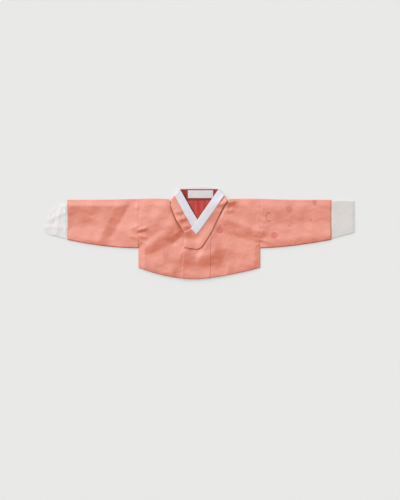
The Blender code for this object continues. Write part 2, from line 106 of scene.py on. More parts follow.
def sleeve_low(x):
    """y of a sleeve's lower edge, a shallow curve up from the armhole to the wrist."""
    along = np.clip((np.abs(x) - HALF_CHEST) / (SLEEVE_END - HALF_CHEST), 0.0, 1.0)
    curve = np.where(np.asarray(x) < 0, SLEEVE_CURVE[-1], SLEEVE_CURVE[1])
    return -ARMHOLE_DEPTH + (ARMHOLE_DEPTH - SLEEVE_END_DEPTH) * along ** curve


print("hem lowest at y", float(hem(HEM_LOWEST_X)), "sleeve end depth", float(sleeve_low(SLEEVE_END)))

# %% [markdown]
# Cloth that lies flat is never flat. Its folded edges stay low and plump while the layer between them lifts
# in long soft ridges, and close to a seam the cloth puckers in short creases. A cloth simulation would give
# other folds than the ones that show on this jacket, so each ridge is given as a line with a width and a
# height, and a few random waves from a fixed seed roughen what lies between. A height below zero makes a
# dip.

# %% Folds and creases
FOLDS = (  # from (x1, y1) to (x2, y2), width, height
    (-300, -12, -182, -10, 12, 1.8),
    (-302, -60, -238, -57, 20, -2.2),
    (-187, -8, -231, -94, 11, 1.6),
    (-160, -12, -203, -84, 9.5, -1.7),
    (-150, -56, -150, -96, 15, 1),
    (-298, -84, -246, -96, 12, 1.2),
    (-66, -20, -137, -60, 16, 3.6),
    (-60, -24, -128, -74, 12, 1.2),
    (-84, -70, -126, -98, 8, -1.6),
    (-80, -62, -48, -46, 11, 3.4),
    (-54, -55, -120, -107, 13.5, 4.6),
    (-58, -98, -42, -86, 8, -1.8),
    (-60, -100, -112, -124, 10, -0.8),
    (-50, -138, -126, -148, 15, 1.2),
    (-86, -168, -62, -166, 8, 1.2),
    (-38, -122, -18, -107, 9, 2.2),
    (2, -130, 30, -126, 8, 1.1),
    (-26, -152, 22, -154, 11, -1),
    (8, -98, 25, -82, 8, 2),
    (66, -8, 58, -26, 8, 1.4),
    (104, -16, 146, -48, 9, 1.3),
    (62, -45, 142, -75, 12, 3),
    (46, -76, 138, -97, 13, -1.5),
    (36, -116, 60, -112, 10, 1.3),
    (34, -151, 66, -151, 13, -0.6),
    (92, -152, 130, -138, 18, 1.2),
    (150, -56, 300, -48, 19, -1.3),
    (190, -92, 298, -80, 14, 1.7),
    (168, -22, 206, -40, 13, 1.2),
)
CREASES = (  # the short ones beside seams, with the same columns
    (-139, -70, -124, -66, 3.6, 2),
    (-139, -76, -126, -74, 2.2, -0.9),
    (-139, -84, -124, -86, 2.6, 0.8),
    (-139, -92, -130, -98, 2.4, 0.8),
    (139, -74, 130, -71, 2.4, 0.5),
    (139, -84, 128, -80, 2.6, 0.8),
    (139, -93, 130, -91, 2.4, 0.7),
    (139, -102, 131, -103, 2.4, 0.5),
    (63, -5, 76, -3, 6, 5),
    (64, -26, 76, -24, 3.5, 1.1),
    (-54, -77, -40, -69, 6, 1.5),
    (-142, -8, -142, -18, 2.4, 0.9),
    (-142, -60, -154, -66, 3, 0.8),
    (-142, -88, -158, -84, 2.8, 0.9),
    (142, -58, 156, -62, 3, 0.7),
    (142, -92, 156, -96, 2.8, 0.9),
    (-104, -150, -100, -166, 5, 0.6),
    (-66, -158, -60, -176, 5, 0.8),
    (68, -152, 64, -170, 5, 0.6),
)
FULLNESS = 1.0  # lift where there is no fold
MOST_LIFT = 5.0
LEAST_LIFT = -0.9
CUFF_EASE = 14.0  # over which a dip in a sleeve fades before the cuff inside its end
EDGE_EASE = 16.0  # over which folds rise from an edge
SEAM_EASE = 4.0  # and creases
LOW_EDGE = 0.55  # share of that reach that a lower edge needs
LOW_LIFT = 0.85  # share of the lift that the hem and a sleeve's lower edge keep
NECK_LINES = (((57.0, 0.0), (1.0, -105.0)), ((-20.0, -99.0), (-68.0, 0.0)))  # outer edges of the collar
CLOTH_WAVES = ((0.24, 30.0, 3), (0.07, 11.0, 5))  # height, length and seed
WAVE_COUNT = 16
CREST = 0.4  # how round a ridge is along its top, in shares of its width


def ridges(x, y, table):
    """Height of the ridges in a table at each point. Each falls off from a soft crest to both sides."""
    height = np.zeros(np.shape(x))
    for x1, y1, x2, y2, width, rise in table:
        run = np.array((x2 - x1, y2 - y1))
        along = np.clip(((x - x1) * run[0] + (y - y1) * run[1]) / (run @ run), 0.0, 1.0)
        away = np.hypot(x - x1 - along * run[0], y - y1 - along * run[1])
        height += rise * np.exp(CREST - np.sqrt((away / width) ** 2 + CREST ** 2))
    return height


def crinkle(x, y, size, seed):
    """Random waves about as long as size, with heights mostly between -1 and 1."""
    random = np.random.default_rng(seed)
    height = np.zeros(np.shape(x))
    for turn, start, length in random.uniform((0, 0, 0.7), (math.tau, math.tau, 1.6), (WAVE_COUNT, 3)):
        height += np.sin((x * math.cos(turn) + y * math.sin(turn)) * math.tau / (size * length) + start)
    return height / math.sqrt(WAVE_COUNT)


def waves(x, y, *kinds):
    """Random waves of several kinds, each a height, a length and a seed."""
    return sum(height * crinkle(x, y, size, seed) for height, size, seed in kinds)


def beyond_collar(x, y):
    """How far each point lies outside the wedge that the two collar bands make."""
    outside = []
    for (x1, y1), (x2, y2) in NECK_LINES:
        length = math.hypot(x2 - x1, y2 - y1)
        outside.append(((x - x1) * (y1 - y2) + (y - y1) * (x2 - x1)) / length)
    return np.maximum(*outside)


def room(x, y, reach):
    """From 0 at a fold, a side seam or the collar to 1 where the cloth is free, reach away. A lower edge is
    hardly held down at all."""
    on_sleeve = np.abs(x) > HALF_CHEST
    to_low = (y - np.where(on_sleeve, sleeve_low(x), hem(x))) / LOW_EDGE
    to_side = np.hypot(HALF_CHEST - np.abs(x), np.maximum(0.0, y + ARMHOLE_DEPTH))
    to_side = np.where(on_sleeve, reach, to_side)
    eased = ease((shoulder(x) - y) / reach) * ease(to_side / reach)
    eased = eased * (LOW_LIFT + (1 - LOW_LIFT) * ease(to_low / reach))
    return eased * ease(beyond_collar(x, y) / reach)


def lift(x, y):
    """How far the upper layer stands above its height at the folded edges."""
    broad = MOST_LIFT * np.tanh((FULLNESS + ridges(x, y, FOLDS)) / MOST_LIFT)
    broad = np.maximum(broad, LEAST_LIFT * ease((SLEEVE_END - np.abs(x)) / CUFF_EASE))
    fine = ridges(x, y, CREASES) + waves(x, y, *CLOTH_WAVES)
    return room(x, y, EDGE_EASE) * broad + room(x, y, SEAM_EASE) * fine


print("folds:", len(FOLDS), "creases:", len(CREASES))

# %% [markdown]
# Node helpers. A shader tree is built by placing nodes and joining their sockets, which soon fills a page,
# so one small helper does both: it takes numbers or other nodes' outputs and puts each into its socket.

# %% Node helpers
def place(tree, kind, inputs=None, **settings):
    """Adds a node. inputs maps its sockets to values, or to other nodes' outputs."""
    made = tree.nodes.new(kind)
    for name, value in settings.items():
        setattr(made, name, value)
    for socket, value in (inputs or {}).items():
        if isinstance(value, bpy.types.NodeSocket):
            tree.links.new(value, made.inputs[socket])
        else:
            made.inputs[socket].default_value = value
    return made


def maths(tree, operation, *values):
    """The result of one Math node."""
    return place(tree, "ShaderNodeMath", dict(enumerate(values)), operation=operation).outputs[0]


def vectors(tree, operation, *values):
    """The Vector Math node of one operation. Its result is at Vector, or at Value for a length."""
    made = place(tree, "ShaderNodeVectorMath", dict(enumerate(values)), operation=operation)
    return made.outputs["Value" if operation in ("LENGTH", "DOT_PRODUCT") else "Vector"]


def blend(tree, share, first, second):
    """A colour between two."""
    inputs = {0: share, 6: first, 7: second}
    return place(tree, "ShaderNodeMix", inputs, data_type="RGBA").outputs[2]


def step_between(tree, value, low, high):
    """From 0 at low to 1 at high, smoothly. Low may be above high."""
    inputs = {"Value": value, "From Min": low, "From Max": high}
    return place(tree, "ShaderNodeMapRange", inputs, interpolation_type="SMOOTHSTEP").outputs["Result"]


def new_group(name, inputs, outputs):
    """A shader node group with named sockets, and its two end nodes."""
    tree = bpy.data.node_groups.new(name, "ShaderNodeTree")
    for label, kind, value in inputs:
        tree.interface.new_socket(label, in_out="INPUT", socket_type=kind).default_value = value
    for label in outputs:
        tree.interface.new_socket(label, in_out="OUTPUT", socket_type="NodeSocketFloat")
    return tree, tree.nodes.new("NodeGroupInput"), tree.nodes.new("NodeGroupOutput")


def use_group(tree, group, **inputs):
    """Places a group. An input's spaces are written as underscores."""
    made = place(tree, "ShaderNodeGroup", node_tree=group)
    for name, value in inputs.items():
        socket = made.inputs[name.replace("_", " ")]
        if isinstance(value, bpy.types.NodeSocket):
            tree.links.new(value, socket)
        else:
            socket.default_value = value
    return made


def new_material(name):
    """A material with its tree and its Principled BSDF."""
    material = bpy.data.materials.new(name)
    material.use_nodes = True
    return material, material.node_tree, material.node_tree.nodes["Principled BSDF"]


def bump(tree, surface, height, strength, distance):
    """Feeds a height through a Bump node into the surface's normal."""
    made = place(tree, "ShaderNodeBump", {"Height": height, "Strength": strength, "Distance": distance})
    tree.links.new(made.outputs["Normal"], surface.inputs["Normal"])


print("node helpers ready")

# %% [markdown]
# The damask's small flowers. Each is an eight-petalled disc with a round heart, about 16 mm across, woven
# so that it reads darker and redder than the satin round it. It is drawn from distance and angle alone: the
# petals are a wave on the disc's edge, with thin lighter lines between them.

# %% Flower group
ROUNDEL_RADIUS = 8.0
PETALS = 8
PETAL_DEPTH = 0.07  # sizes here are shares of the radius
DISC_EDGE = (1.05, 0.97)
HEART_RADIUS = 0.34
HEART_LINE = (0.08, 0.03)
PETAL_LINE_START = (0.36, 0.46)
PETAL_LINE = (-0.8, -0.98)  # heights of the wave between which a line fades in
LINE_FADE = 0.55  # how much of the flower a line takes away

flower, flower_in, flower_out = new_group(
    "damask_flower",
    (("Place", "NodeSocketVector", (0, 0, 0)), ("Radius", "NodeSocketFloat", ROUNDEL_RADIUS)),
    ("Mask",),
)
parts = place(flower, "ShaderNodeSeparateXYZ", {0: flower_in.outputs["Place"]})
angle = maths(flower, "ARCTAN2", parts.outputs["Y"], parts.outputs["X"])
away = vectors(flower, "LENGTH", flower_in.outputs["Place"])
away = maths(flower, "DIVIDE", away, flower_in.outputs["Radius"])
wave = maths(flower, "COSINE", maths(flower, "MULTIPLY", angle, PETALS))
edge = maths(flower, "MULTIPLY_ADD", wave, PETAL_DEPTH, 0.95)
disc = step_between(flower, maths(flower, "DIVIDE", away, edge), *DISC_EDGE)
off_heart = maths(flower, "ABSOLUTE", maths(flower, "SUBTRACT", away, HEART_RADIUS))
heart_ring = step_between(flower, off_heart, *HEART_LINE)
between = step_between(flower, wave, *PETAL_LINE)
outer = step_between(flower, away, *PETAL_LINE_START)
lines = maths(flower, "MAXIMUM", heart_ring, maths(flower, "MULTIPLY", between, outer))
kept = maths(flower, "MULTIPLY_ADD", lines, -LINE_FADE, 1.0)
flower.links.new(maths(flower, "MULTIPLY", disc, kept), flower_out.inputs["Mask"])
print("flower group:", len(flower.nodes), "nodes")

# %% [markdown]
# Between the flowers lie little sprigs: a bowed stem with a few narrow leaves. The stem is part of a thin
# ring and each leaf is an ellipse, turned and moved into place. Leaves that are listed as numbers are quick
# to change.

# %% Sprig group
LEAVES = (  # x, y, turn in degrees and half length, for a sprig of size 1
    (0.02, 0.66, 20.0, 0.54),
    (0.06, 0.68, -24.0, 0.46),
    (0.40, -0.82, -38.0, 0.22),
)
LEAF_WIDTH = 0.105
STEM_CENTRE = (0.346, -0.143, 0.0)
STEM_RADIUS = 0.723
STEM_WIDTH = 0.11
STEM_ENDS = (0.46, 0.36)

sprig, sprig_in, sprig_out = new_group(
    "damask_sprig",
    (
        ("Place", "NodeSocketVector", (0, 0, 0)),
        ("Size", "NodeSocketFloat", 10.0),
        ("Turn", "NodeSocketFloat", 0.0),
        ("Stem", "NodeSocketFloat", 1.0),
    ),
    ("Mask",),
)
turned = place(
    sprig, "ShaderNodeVectorRotate",
    {"Vector": sprig_in.outputs["Place"], "Angle": sprig_in.outputs["Turn"]}, rotation_type="Z_AXIS",
).outputs[0]
shrink = maths(sprig, "DIVIDE", 1.0, sprig_in.outputs["Size"])
sized = place(sprig, "ShaderNodeVectorMath", {0: turned, "Scale": shrink}, operation="SCALE")
sized = sized.outputs["Vector"]
ring = vectors(sprig, "LENGTH", vectors(sprig, "SUBTRACT", sized, STEM_CENTRE))
off_ring = maths(sprig, "ABSOLUTE", maths(sprig, "SUBTRACT", ring, STEM_RADIUS))
stem = step_between(sprig, off_ring, STEM_WIDTH, STEM_WIDTH * 0.5)
parts = place(sprig, "ShaderNodeSeparateXYZ", {0: sized})
on_left = maths(sprig, "LESS_THAN", parts.outputs["X"], STEM_ENDS[0])
below_top = maths(sprig, "LESS_THAN", parts.outputs["Y"], STEM_ENDS[1])
stem = maths(sprig, "MULTIPLY", stem, sprig_in.outputs["Stem"])
mask = maths(sprig, "MULTIPLY", stem, maths(sprig, "MULTIPLY", on_left, below_top))
for x, y, degrees, half_length in LEAVES:
    moved = vectors(sprig, "SUBTRACT", sized, (x, y, 0.0))
    leaf = place(sprig, "ShaderNodeVectorRotate", {"Vector": moved, "Angle": -math.radians(degrees)},
                 rotation_type="Z_AXIS").outputs[0]
    away = vectors(sprig, "LENGTH", vectors(sprig, "DIVIDE", leaf, (half_length, LEAF_WIDTH, 1.0)))
    mask = maths(sprig, "MAXIMUM", mask, step_between(sprig, away, 1.1, 0.85))
sprig.links.new(mask, sprig_out.inputs["Mask"])
print("sprig group:", len(sprig.nodes), "nodes")

# %% [markdown]
# A damask repeats over the whole bolt, so its motifs are not placed one by one. The cloth's own
# coordinates, in millimetres on the flat cut, are folded into one lozenge of the repeat, and flowers and
# sprigs are drawn once in that lozenge. Two flowers to a lozenge, the second one fainter, are what the
# jacket shows.

# %% Damask group
REPEAT = (96.0, 76.6)
SECOND_FLOWER = (-61.0, -17.0, 0.0)
SPRIGS = (  # x, y, size, turn, stem and strength
    (-14.0, 43.0, 12.5, 0.0, 1.0, 1.0),
    (46.0, -14.0, 7.5, 2.2, 0.3, 0.6),
    (-8.0, -44.0, 7.0, -1.1, 0.3, 0.8),
    (-34.0, 16.0, 6.5, 1.3, 0.2, 0.6),
    (38.0, 26.0, 7.0, -2.5, 0.3, 0.6),
)

damask, damask_in, damask_out = new_group(
    "damask", (("Place", "NodeSocketVector", (0, 0, 0)),),
    ("Flower", "Second flower", "Sprig", "Small sprigs"),
)
parts = place(damask, "ShaderNodeSeparateXYZ", {0: damask_in.outputs["Place"]})
across = maths(damask, "DIVIDE", parts.outputs["X"], REPEAT[0] * MM)
along = maths(damask, "DIVIDE", parts.outputs["Y"], REPEAT[1] * MM)
first, second = (
    maths(damask, "WRAP", maths(damask, "MULTIPLY", maths(damask, way, across, along), 0.5), 0.5, -0.5)
    for way in ("ADD", "SUBTRACT")
)
local_x = maths(damask, "MULTIPLY", maths(damask, "ADD", first, second), REPEAT[0])
local_y = maths(damask, "MULTIPLY", maths(damask, "SUBTRACT", first, second), REPEAT[1])
local = place(damask, "ShaderNodeCombineXYZ", {"X": local_x, "Y": local_y}).outputs[0]
one = use_group(damask, flower, Place=local)
two = use_group(damask, flower, Place=vectors(damask, "SUBTRACT", local, SECOND_FLOWER))
drawn_sprigs = []
for x, y, size, turned, stem, strength in SPRIGS:
    moved = vectors(damask, "SUBTRACT", local, (x, y, 0.0))
    drawn = use_group(damask, sprig, Place=moved, Size=size, Turn=turned, Stem=stem).outputs["Mask"]
    drawn_sprigs.append(maths(damask, "MULTIPLY", drawn, strength))
small_sprigs = functools.reduce(functools.partial(maths, damask, "MAXIMUM"), drawn_sprigs[1:])
damask.links.new(one.outputs["Mask"], damask_out.inputs["Flower"])
damask.links.new(two.outputs["Mask"], damask_out.inputs["Second flower"])
damask.links.new(drawn_sprigs[0], damask_out.inputs["Sprig"])
damask.links.new(small_sprigs, damask_out.inputs["Small sprigs"])
print("damask group:", len(damask.nodes), "nodes")

# %% [markdown]
# Thread. Silk has long fine streaks along its warp, and a plain weave has a grid of small knots. Both come
# from one group: a noise stretched along the cloth for the streaks, and two crossed waves for the knots,
# with inputs that say how wide a thread is and how much of each a cloth has.

# %% Thread group
CLOUD_SCALE = 26.0

thread, thread_in, thread_out = new_group(
    "thread",
    (
        ("Place", "NodeSocketVector", (0, 0, 0)),
        ("Thread width", "NodeSocketFloat", 0.0003),
        ("Streak length", "NodeSocketFloat", 14.0),
        ("Knots", "NodeSocketFloat", 0.0),
    ),
    ("Height", "Streak", "Cloud"),
)
per_thread = maths(thread, "DIVIDE", 1.0, thread_in.outputs["Thread width"])
counted = place(thread, "ShaderNodeVectorMath", {0: thread_in.outputs["Place"], "Scale": per_thread},
                operation="SCALE").outputs["Vector"]
parts = place(thread, "ShaderNodeSeparateXYZ", {0: counted})
drawn_out = maths(thread, "DIVIDE", parts.outputs["Y"], thread_in.outputs["Streak length"])
streak_place = place(thread, "ShaderNodeCombineXYZ", {"X": parts.outputs["X"], "Y": drawn_out}).outputs[0]
streak = place(thread, "ShaderNodeTexNoise", {"Vector": streak_place, "Scale": 0.5, "Detail": 2.0},
               noise_dimensions="2D").outputs[0]
warp = maths(thread, "SINE", maths(thread, "MULTIPLY", parts.outputs["X"], math.pi))
weft = maths(thread, "SINE", maths(thread, "MULTIPLY", parts.outputs["Y"], math.pi))
knots = maths(thread, "MULTIPLY", maths(thread, "MULTIPLY", warp, weft), thread_in.outputs["Knots"])
cloud_inputs = {"Vector": thread_in.outputs["Place"], "Scale": CLOUD_SCALE, "Detail": 3.0}
cloud = place(thread, "ShaderNodeTexNoise", cloud_inputs, noise_dimensions="2D").outputs[0]
thread.links.new(maths(thread, "ADD", streak, knots), thread_out.inputs["Height"])
thread.links.new(streak, thread_out.inputs["Streak"])
thread.links.new(cloud, thread_out.inputs["Cloud"])
print("thread group:", len(thread.nodes), "nodes")

# %% [markdown]
# The satin. Most of its colour is a deep coral, and the light on it comes and goes as a pale sheen that
# changes with every slope, which is how satin shows its folds. So the base is darker than the cloth looks,
# and a soft gloss lies over it. The woven motifs are duller and redder, and the sprigs a little browner.

# %% Satin material
SATIN_DEEP = (0.72, 0.148, 0.066, 1.0)
SATIN_PALE = (0.78, 0.186, 0.095, 1.0)
FLOWER_RED = (0.64, 0.056, 0.030, 1.0)
SPRIG_BROWN = (0.33, 0.035, 0.022, 1.0)
SATIN_IOR = 1.8
CLOUD_EDGES = (0.3, 0.7)
STREAK_VALUE = (0.16, 0.92)  # how much a streak changes the colour's value, and from where
SATIN_ROUGH = (0.08, 0.34)  # the same for roughness
WOVEN_ROUGHER = 0.2
WEAVE_HEIGHT = 0.00012

satin, tree, surface = new_material("coral_satin")
cut_place = place(tree, "ShaderNodeUVMap", uv_map="cut").outputs["UV"]
shows = place(tree, "ShaderNodeAttribute", attribute_name="motifs_show").outputs["Vector"]
shows = place(tree, "ShaderNodeSeparateXYZ", {0: shows}).outputs
motifs = use_group(tree, damask, Place=cut_place)
threads = use_group(tree, thread, Place=cut_place, Thread_width=0.00028, Streak_length=16.0)
cloudy = step_between(tree, threads.outputs["Cloud"], *CLOUD_EDGES)
ground = blend(tree, cloudy, SATIN_DEEP, SATIN_PALE)
first_flower = maths(tree, "MULTIPLY", motifs.outputs["Flower"], shows["X"])
second_flower = maths(tree, "MULTIPLY", motifs.outputs["Second flower"], shows["Y"])
flowers = maths(tree, "MAXIMUM", first_flower, second_flower)
with_flowers = blend(tree, flowers, ground, FLOWER_RED)
bowed_sprig = maths(tree, "MULTIPLY", motifs.outputs["Sprig"], shows["Z"])
either_sprig = maths(tree, "MAXIMUM", bowed_sprig, motifs.outputs["Small sprigs"])
sprigs = maths(tree, "MULTIPLY", either_sprig, shows["Z"])
with_sprigs = blend(tree, sprigs, with_flowers, SPRIG_BROWN)
tone = place(tree, "ShaderNodeHueSaturation", {
    "Color": with_sprigs,
    "Value": maths(tree, "MULTIPLY_ADD", threads.outputs["Streak"], *STREAK_VALUE),
}).outputs[0]
tree.links.new(tone, surface.inputs["Base Color"])
woven = maths(tree, "MAXIMUM", flowers, sprigs)
streaked = maths(tree, "MULTIPLY_ADD", threads.outputs["Streak"], *SATIN_ROUGH)
rough = maths(tree, "MULTIPLY_ADD", woven, WOVEN_ROUGHER, streaked)
tree.links.new(rough, surface.inputs["Roughness"])
sunk = maths(tree, "MULTIPLY_ADD", woven, -0.5, threads.outputs["Height"])
bump(tree, surface, sunk, 0.25, WEAVE_HEIGHT)
surface.inputs["IOR"].default_value = SATIN_IOR
surface.inputs["Specular IOR Level"].default_value = 1.0
surface.inputs["Sheen Weight"].default_value = 0.1
surface.inputs["Sheen Roughness"].default_value = 0.35
surface.inputs["Sheen Tint"].default_value = (1.0, 0.84, 0.78, 1.0)
print("satin:", len(tree.nodes), "nodes")

# %% [markdown]
# The plain cloths share one recipe: a colour that varies a little with the threads, a roughness, and the
# weave as a fine bump. The lining is thin glossy silk; the strip is crisp and smooth; the cuffs are thin
# and matt; the label is a coarser ribbon. One function takes those differences as numbers.

# %% Plain cloth materials
SILK = (0.0003, 12.0, 0.1, 0.3)  # thread width, streak length, knots, and strength of the bump
PRESSED_SILK = (0.0003, 12.0, 0.1, 0.2)
COTTON = (0.00035, 3.0, 0.35, 0.3)
GAUZE = (0.0005, 2.0, 0.8, 0.4)
RIBBON = (0.0006, 6.0, 0.9, 0.6)
SEWING_THREAD = (0.0002, 4.0, 0.5, 0.3)
CLOUD_SHARE = 0.6  # of the colour's changes, and the rest are streaks
STREAK_ROUGH = 0.12


def plain_cloth(name, light, dark, roughness, weave, specular=0.5, sheen=0.0):
    """A cloth of one colour, with its threads."""
    material, tree, surface = new_material(name)
    here = place(tree, "ShaderNodeUVMap", uv_map="cut").outputs["UV"]
    width, streak, knots, strength = weave
    woven = use_group(tree, thread, Place=here, Thread_width=width, Streak_length=streak, Knots=knots).outputs
    mixed = maths(tree, "ADD", maths(tree, "MULTIPLY", woven["Cloud"], CLOUD_SHARE),
                  maths(tree, "MULTIPLY", woven["Streak"], 1 - CLOUD_SHARE))
    share = step_between(tree, mixed, *CLOUD_EDGES)
    tree.links.new(blend(tree, share, (*dark, 1.0), (*light, 1.0)), surface.inputs["Base Color"])
    rough = maths(tree, "MULTIPLY_ADD", woven["Streak"], STREAK_ROUGH, roughness - STREAK_ROUGH / 2)
    tree.links.new(rough, surface.inputs["Roughness"])
    bump(tree, surface, woven["Height"], strength, WEAVE_HEIGHT)
    surface.inputs["Specular IOR Level"].default_value = specular
    surface.inputs["Sheen Weight"].default_value = sheen
    return material


# The collar's inside is the red lining painted darker, as painted shade behind the neck.
# The edge red is partly the lining's own rolled edge and partly painted shade under lower edges, at the
# sleeve ends and along seams.
# The nearly black red is a painted shadow beside the left strip at the neck.
lining_silk, shaded_inner_collar, painted_neck_shadow, rolled_edge_and_shade, strip_cotton = (
    plain_cloth("red_lining_silk", (0.60, 0.050, 0.038), (0.46, 0.033, 0.025), 0.4, SILK, 0.45),
    plain_cloth("inner_collar_painted_shade", (0.36, 0.042, 0.032), (0.26, 0.028, 0.021), 0.55, SILK, 0.2),
    plain_cloth("nearly_black_painted_shadow", (0.070, 0.018, 0.014), (0.055, 0.014, 0.010), 0.7, PRESSED_SILK, 0.1),
    plain_cloth("red_edge_and_painted_shade", (0.50, 0.105, 0.052), (0.42, 0.085, 0.042), 0.6, PRESSED_SILK, 0.2),
    plain_cloth("crisp_white_strip", (0.75, 0.73, 0.79), (0.71, 0.69, 0.75), 0.5, COTTON, sheen=0.1),
)
# The cuffs are one white gauze in two shades: the right one is painted darker, as painted shade, and the left
# one lighter, as painted light.
gauze_painted_shade, cuff_doubled, gauze_painted_light, label_ribbon, white_thread = (
    plain_cloth("thin_cuff_painted_shade", (0.73, 0.69, 0.67), (0.69, 0.65, 0.63), 0.7, GAUZE),
    plain_cloth("doubled_white_cuff", (0.69, 0.66, 0.645), (0.65, 0.62, 0.60), 0.7, GAUZE),
    plain_cloth("crumpled_cuff_painted_light", (0.84, 0.81, 0.81), (0.80, 0.77, 0.77), 0.75, GAUZE),
    plain_cloth("bare_woven_label", (0.76, 0.73, 0.71), (0.66, 0.63, 0.63), 0.65, RIBBON),
    plain_cloth("white_sewing_thread", (0.82, 0.81, 0.80), (0.74, 0.73, 0.72), 0.5, SEWING_THREAD),
)
print("plain cloths made")

# %% [markdown]
# A piece of cloth starts as its outer side alone: grids of points, some of which share an edge where the
# cloth goes round a fold. Each grid also carries its place on the flat cut, which becomes the UV map, so
# the weave and the damask follow the cloth round every fold.

# %% One piece of cloth
class Cut:
    """The outer side of one piece of cloth."""

    def __init__(self):
        self.points = []
        self.faces = []
        self.places = []
        self.finishes = []

    def add(self, grid):
        """Takes rows of points and returns their numbers in the same rows."""
        first = sum(len(points) for points in self.points)
        points = grid.reshape(-1, 3)
        self.points.append(points)
        return np.arange(first, first + len(points)).reshape(grid.shape[:2])

    def cover(self, numbers, places, turned=False, finish=0):
        """Fills rows of point numbers with quads. They look up where rows go up and columns go right."""
        corners = []
        for values in (numbers[..., None], places):
            quads = np.stack((values[:-1, :-1], values[:-1, 1:], values[1:, 1:], values[1:, :-1]), axis=2)
            corners.append(quads[:, :, ::-1] if turned else quads)
        count = (numbers.shape[0] - 1, numbers.shape[1] - 1)
        self.faces.append(corners[0].reshape(-1, 4))
        self.places.append(corners[1].reshape(-1, 2))
        self.finishes.append(np.broadcast_to(finish, count).reshape(-1))

    def flat_size(self):
        """Width, length and area of the flat cut, in metres."""
        places = np.concatenate(self.places)
        x, y = places.reshape(-1, 4, 2).transpose(2, 0, 1)
        area = np.abs(sum(x[:, i] * y[:, (i + 1) % 4] - x[:, (i + 1) % 4] * y[:, i] for i in range(4))) / 2
        width, length = np.ptp(places, axis=0)
        return width * MM, length * MM, area.sum() * MM * MM


print("cuts ready")

# %% [markdown]
# Every cut becomes a finished piece in the same way. The mesh takes its finishes, its place on the bolt as
# a UV map, and an attribute that says how strongly the motifs show, because the light hides some of them.
# Solidify gives the wall, with the lining as its inner side, and a plain mesh is kept of the result.

# %% A finished piece
FLOWER_MARGIN = 10.0  # the damask is plain this close to a side seam
SHARP = math.radians(48)  # edges that turn by more stay crisp


def add_object(name, data):
    """An object in the scene."""
    made = bpy.data.objects.new(name, data)
    bpy.context.scene.collection.objects.link(made)
    return made


def make_cloth(name, cut, wall, finishes, shift=(0.0, 0.0), turned=1, motifs=(0.0, 0.0, 0.0)):
    """A finished piece from its outer side. shift and turned say how the cut lay on the bolt, and motifs how
    strongly its two kinds of flower and its sprigs show."""
    mesh = bpy.data.meshes.new(name)
    points = np.concatenate(cut.points) - (0.0, MIDDLE_Y, 0.0)
    mesh.from_pydata((points * MM).tolist(), [], np.concatenate(cut.faces).tolist())
    for finish in finishes:
        mesh.materials.append(finish)
    mesh.polygons.foreach_set("material_index", np.concatenate(cut.finishes))
    places = (np.concatenate(cut.places) - shift) * turned * MM
    mesh.uv_layers.new(name="cut").data.foreach_set("uv", places.reshape(-1))
    strengths = mesh.attributes.new("motifs_show", "FLOAT_VECTOR", "POINT")
    off_sides = np.abs(points[:, :1]) % HALF_CHEST < HALF_CHEST - FLOWER_MARGIN
    strengths.data.foreach_set("vector", (off_sides * np.float32(motifs)).astype(np.float32).reshape(-1))
    rough_piece = add_object(name, mesh)
    walls = rough_piece.modifiers.new("wall", "SOLIDIFY")
    walls.thickness = wall * MM
    walls.offset = -1.0
    walls.use_even_offset = True
    walls.use_quality_normals = True
    walls.material_offset = 1 if satin in finishes else 0
    return plain(rough_piece, name)


def plain(rough_piece, name):
    """Turns an object with modifiers into a plain mesh object of that name."""
    graph = bpy.context.evaluated_depsgraph_get()
    seen = rough_piece.evaluated_get(graph)
    mesh = bpy.data.meshes.new_from_object(seen, preserve_all_data_layers=True, depsgraph=graph)
    bpy.data.objects.remove(rough_piece)
    mesh.name = name
    mesh.shade_smooth()
    mesh.set_sharp_from_angle(angle=SHARP)
    return add_object(name, mesh)


def spaced(length, step, fine=(0.9, 2.0)):
    """Shares from 0 to 1 over a length, a step apart, with finer ones at both ends for a turned edge."""
    middle = np.linspace(fine[-1], length - fine[-1], max(2, round(length / step)))
    return np.concatenate(((0.0, fine[0]), middle, (length - fine[0], length))) / length


def distances(line):
    """How far along a line of points each one lies."""
    return np.concatenate(((0.0,), np.cumsum(np.linalg.norm(np.diff(line, axis=0), axis=1))))


def with_z(plan, z):
    """Rows of (x, y) given a height each."""
    return np.dstack((plan, np.broadcast_to(z, plan.shape[:2])))


print("cloth helpers ready")

# %% [markdown]
# Cloth on cloth. To find how high each piece lies, the top of what is already there is kept as a height at
# every millimetre. A new piece can't follow a step at once, so the heights under it are first spread
# sideways and then smoothed. That is a cheap stand-in for a drape: it gives soft slopes over every edge
# beneath, and no overlap.

# %% The pile of cloth
STEP = 1.0
MARGIN = 10.0
PILE_TOP_Y = 50.0
DRAPE_REACH = 6.0  # how far beyond an edge a strip laid over it comes down, and then a panel and the collar
PANEL_REACH = 18.0
COLLAR_REACH = 11.0
DRAPE_EASE = (0.6, 0.35)  # reach of each smoothing, in shares of that
ROLL = (0.45, 0.16)  # how far a free edge rolls down, and the share of it that its second row does


def neighbours(height, reach):
    """The field moved by every step within reach."""
    cells = round(reach / STEP)
    rows, columns = height.shape
    padded = np.pad(height, cells, mode="edge")
    for i in range(2 * cells + 1):
        for j in range(2 * cells + 1):
            if math.hypot(i - cells, j - cells) <= cells:
                yield padded[i:i + rows, j:j + columns]


def within(outline, x, y):
    """Whether each point is inside a closed outline."""
    crossings = np.zeros(x.shape, int)
    for (x1, y1), (x2, y2) in zip(outline, np.roll(outline, -1, axis=0)):
        if y1 != y2:
            crossings += ((y1 > y) != (y2 > y)) & (x < x1 + (y - y1) * (x2 - x1) / (y2 - y1))
    return crossings % 2 == 1


def border(plan):
    """The outline of rows of points."""
    sides = (plan[0], plan[1:, -1], plan[-1, -2::-1], plan[-2:0:-1, 0])
    return np.concatenate([side[:, :2] for side in sides])


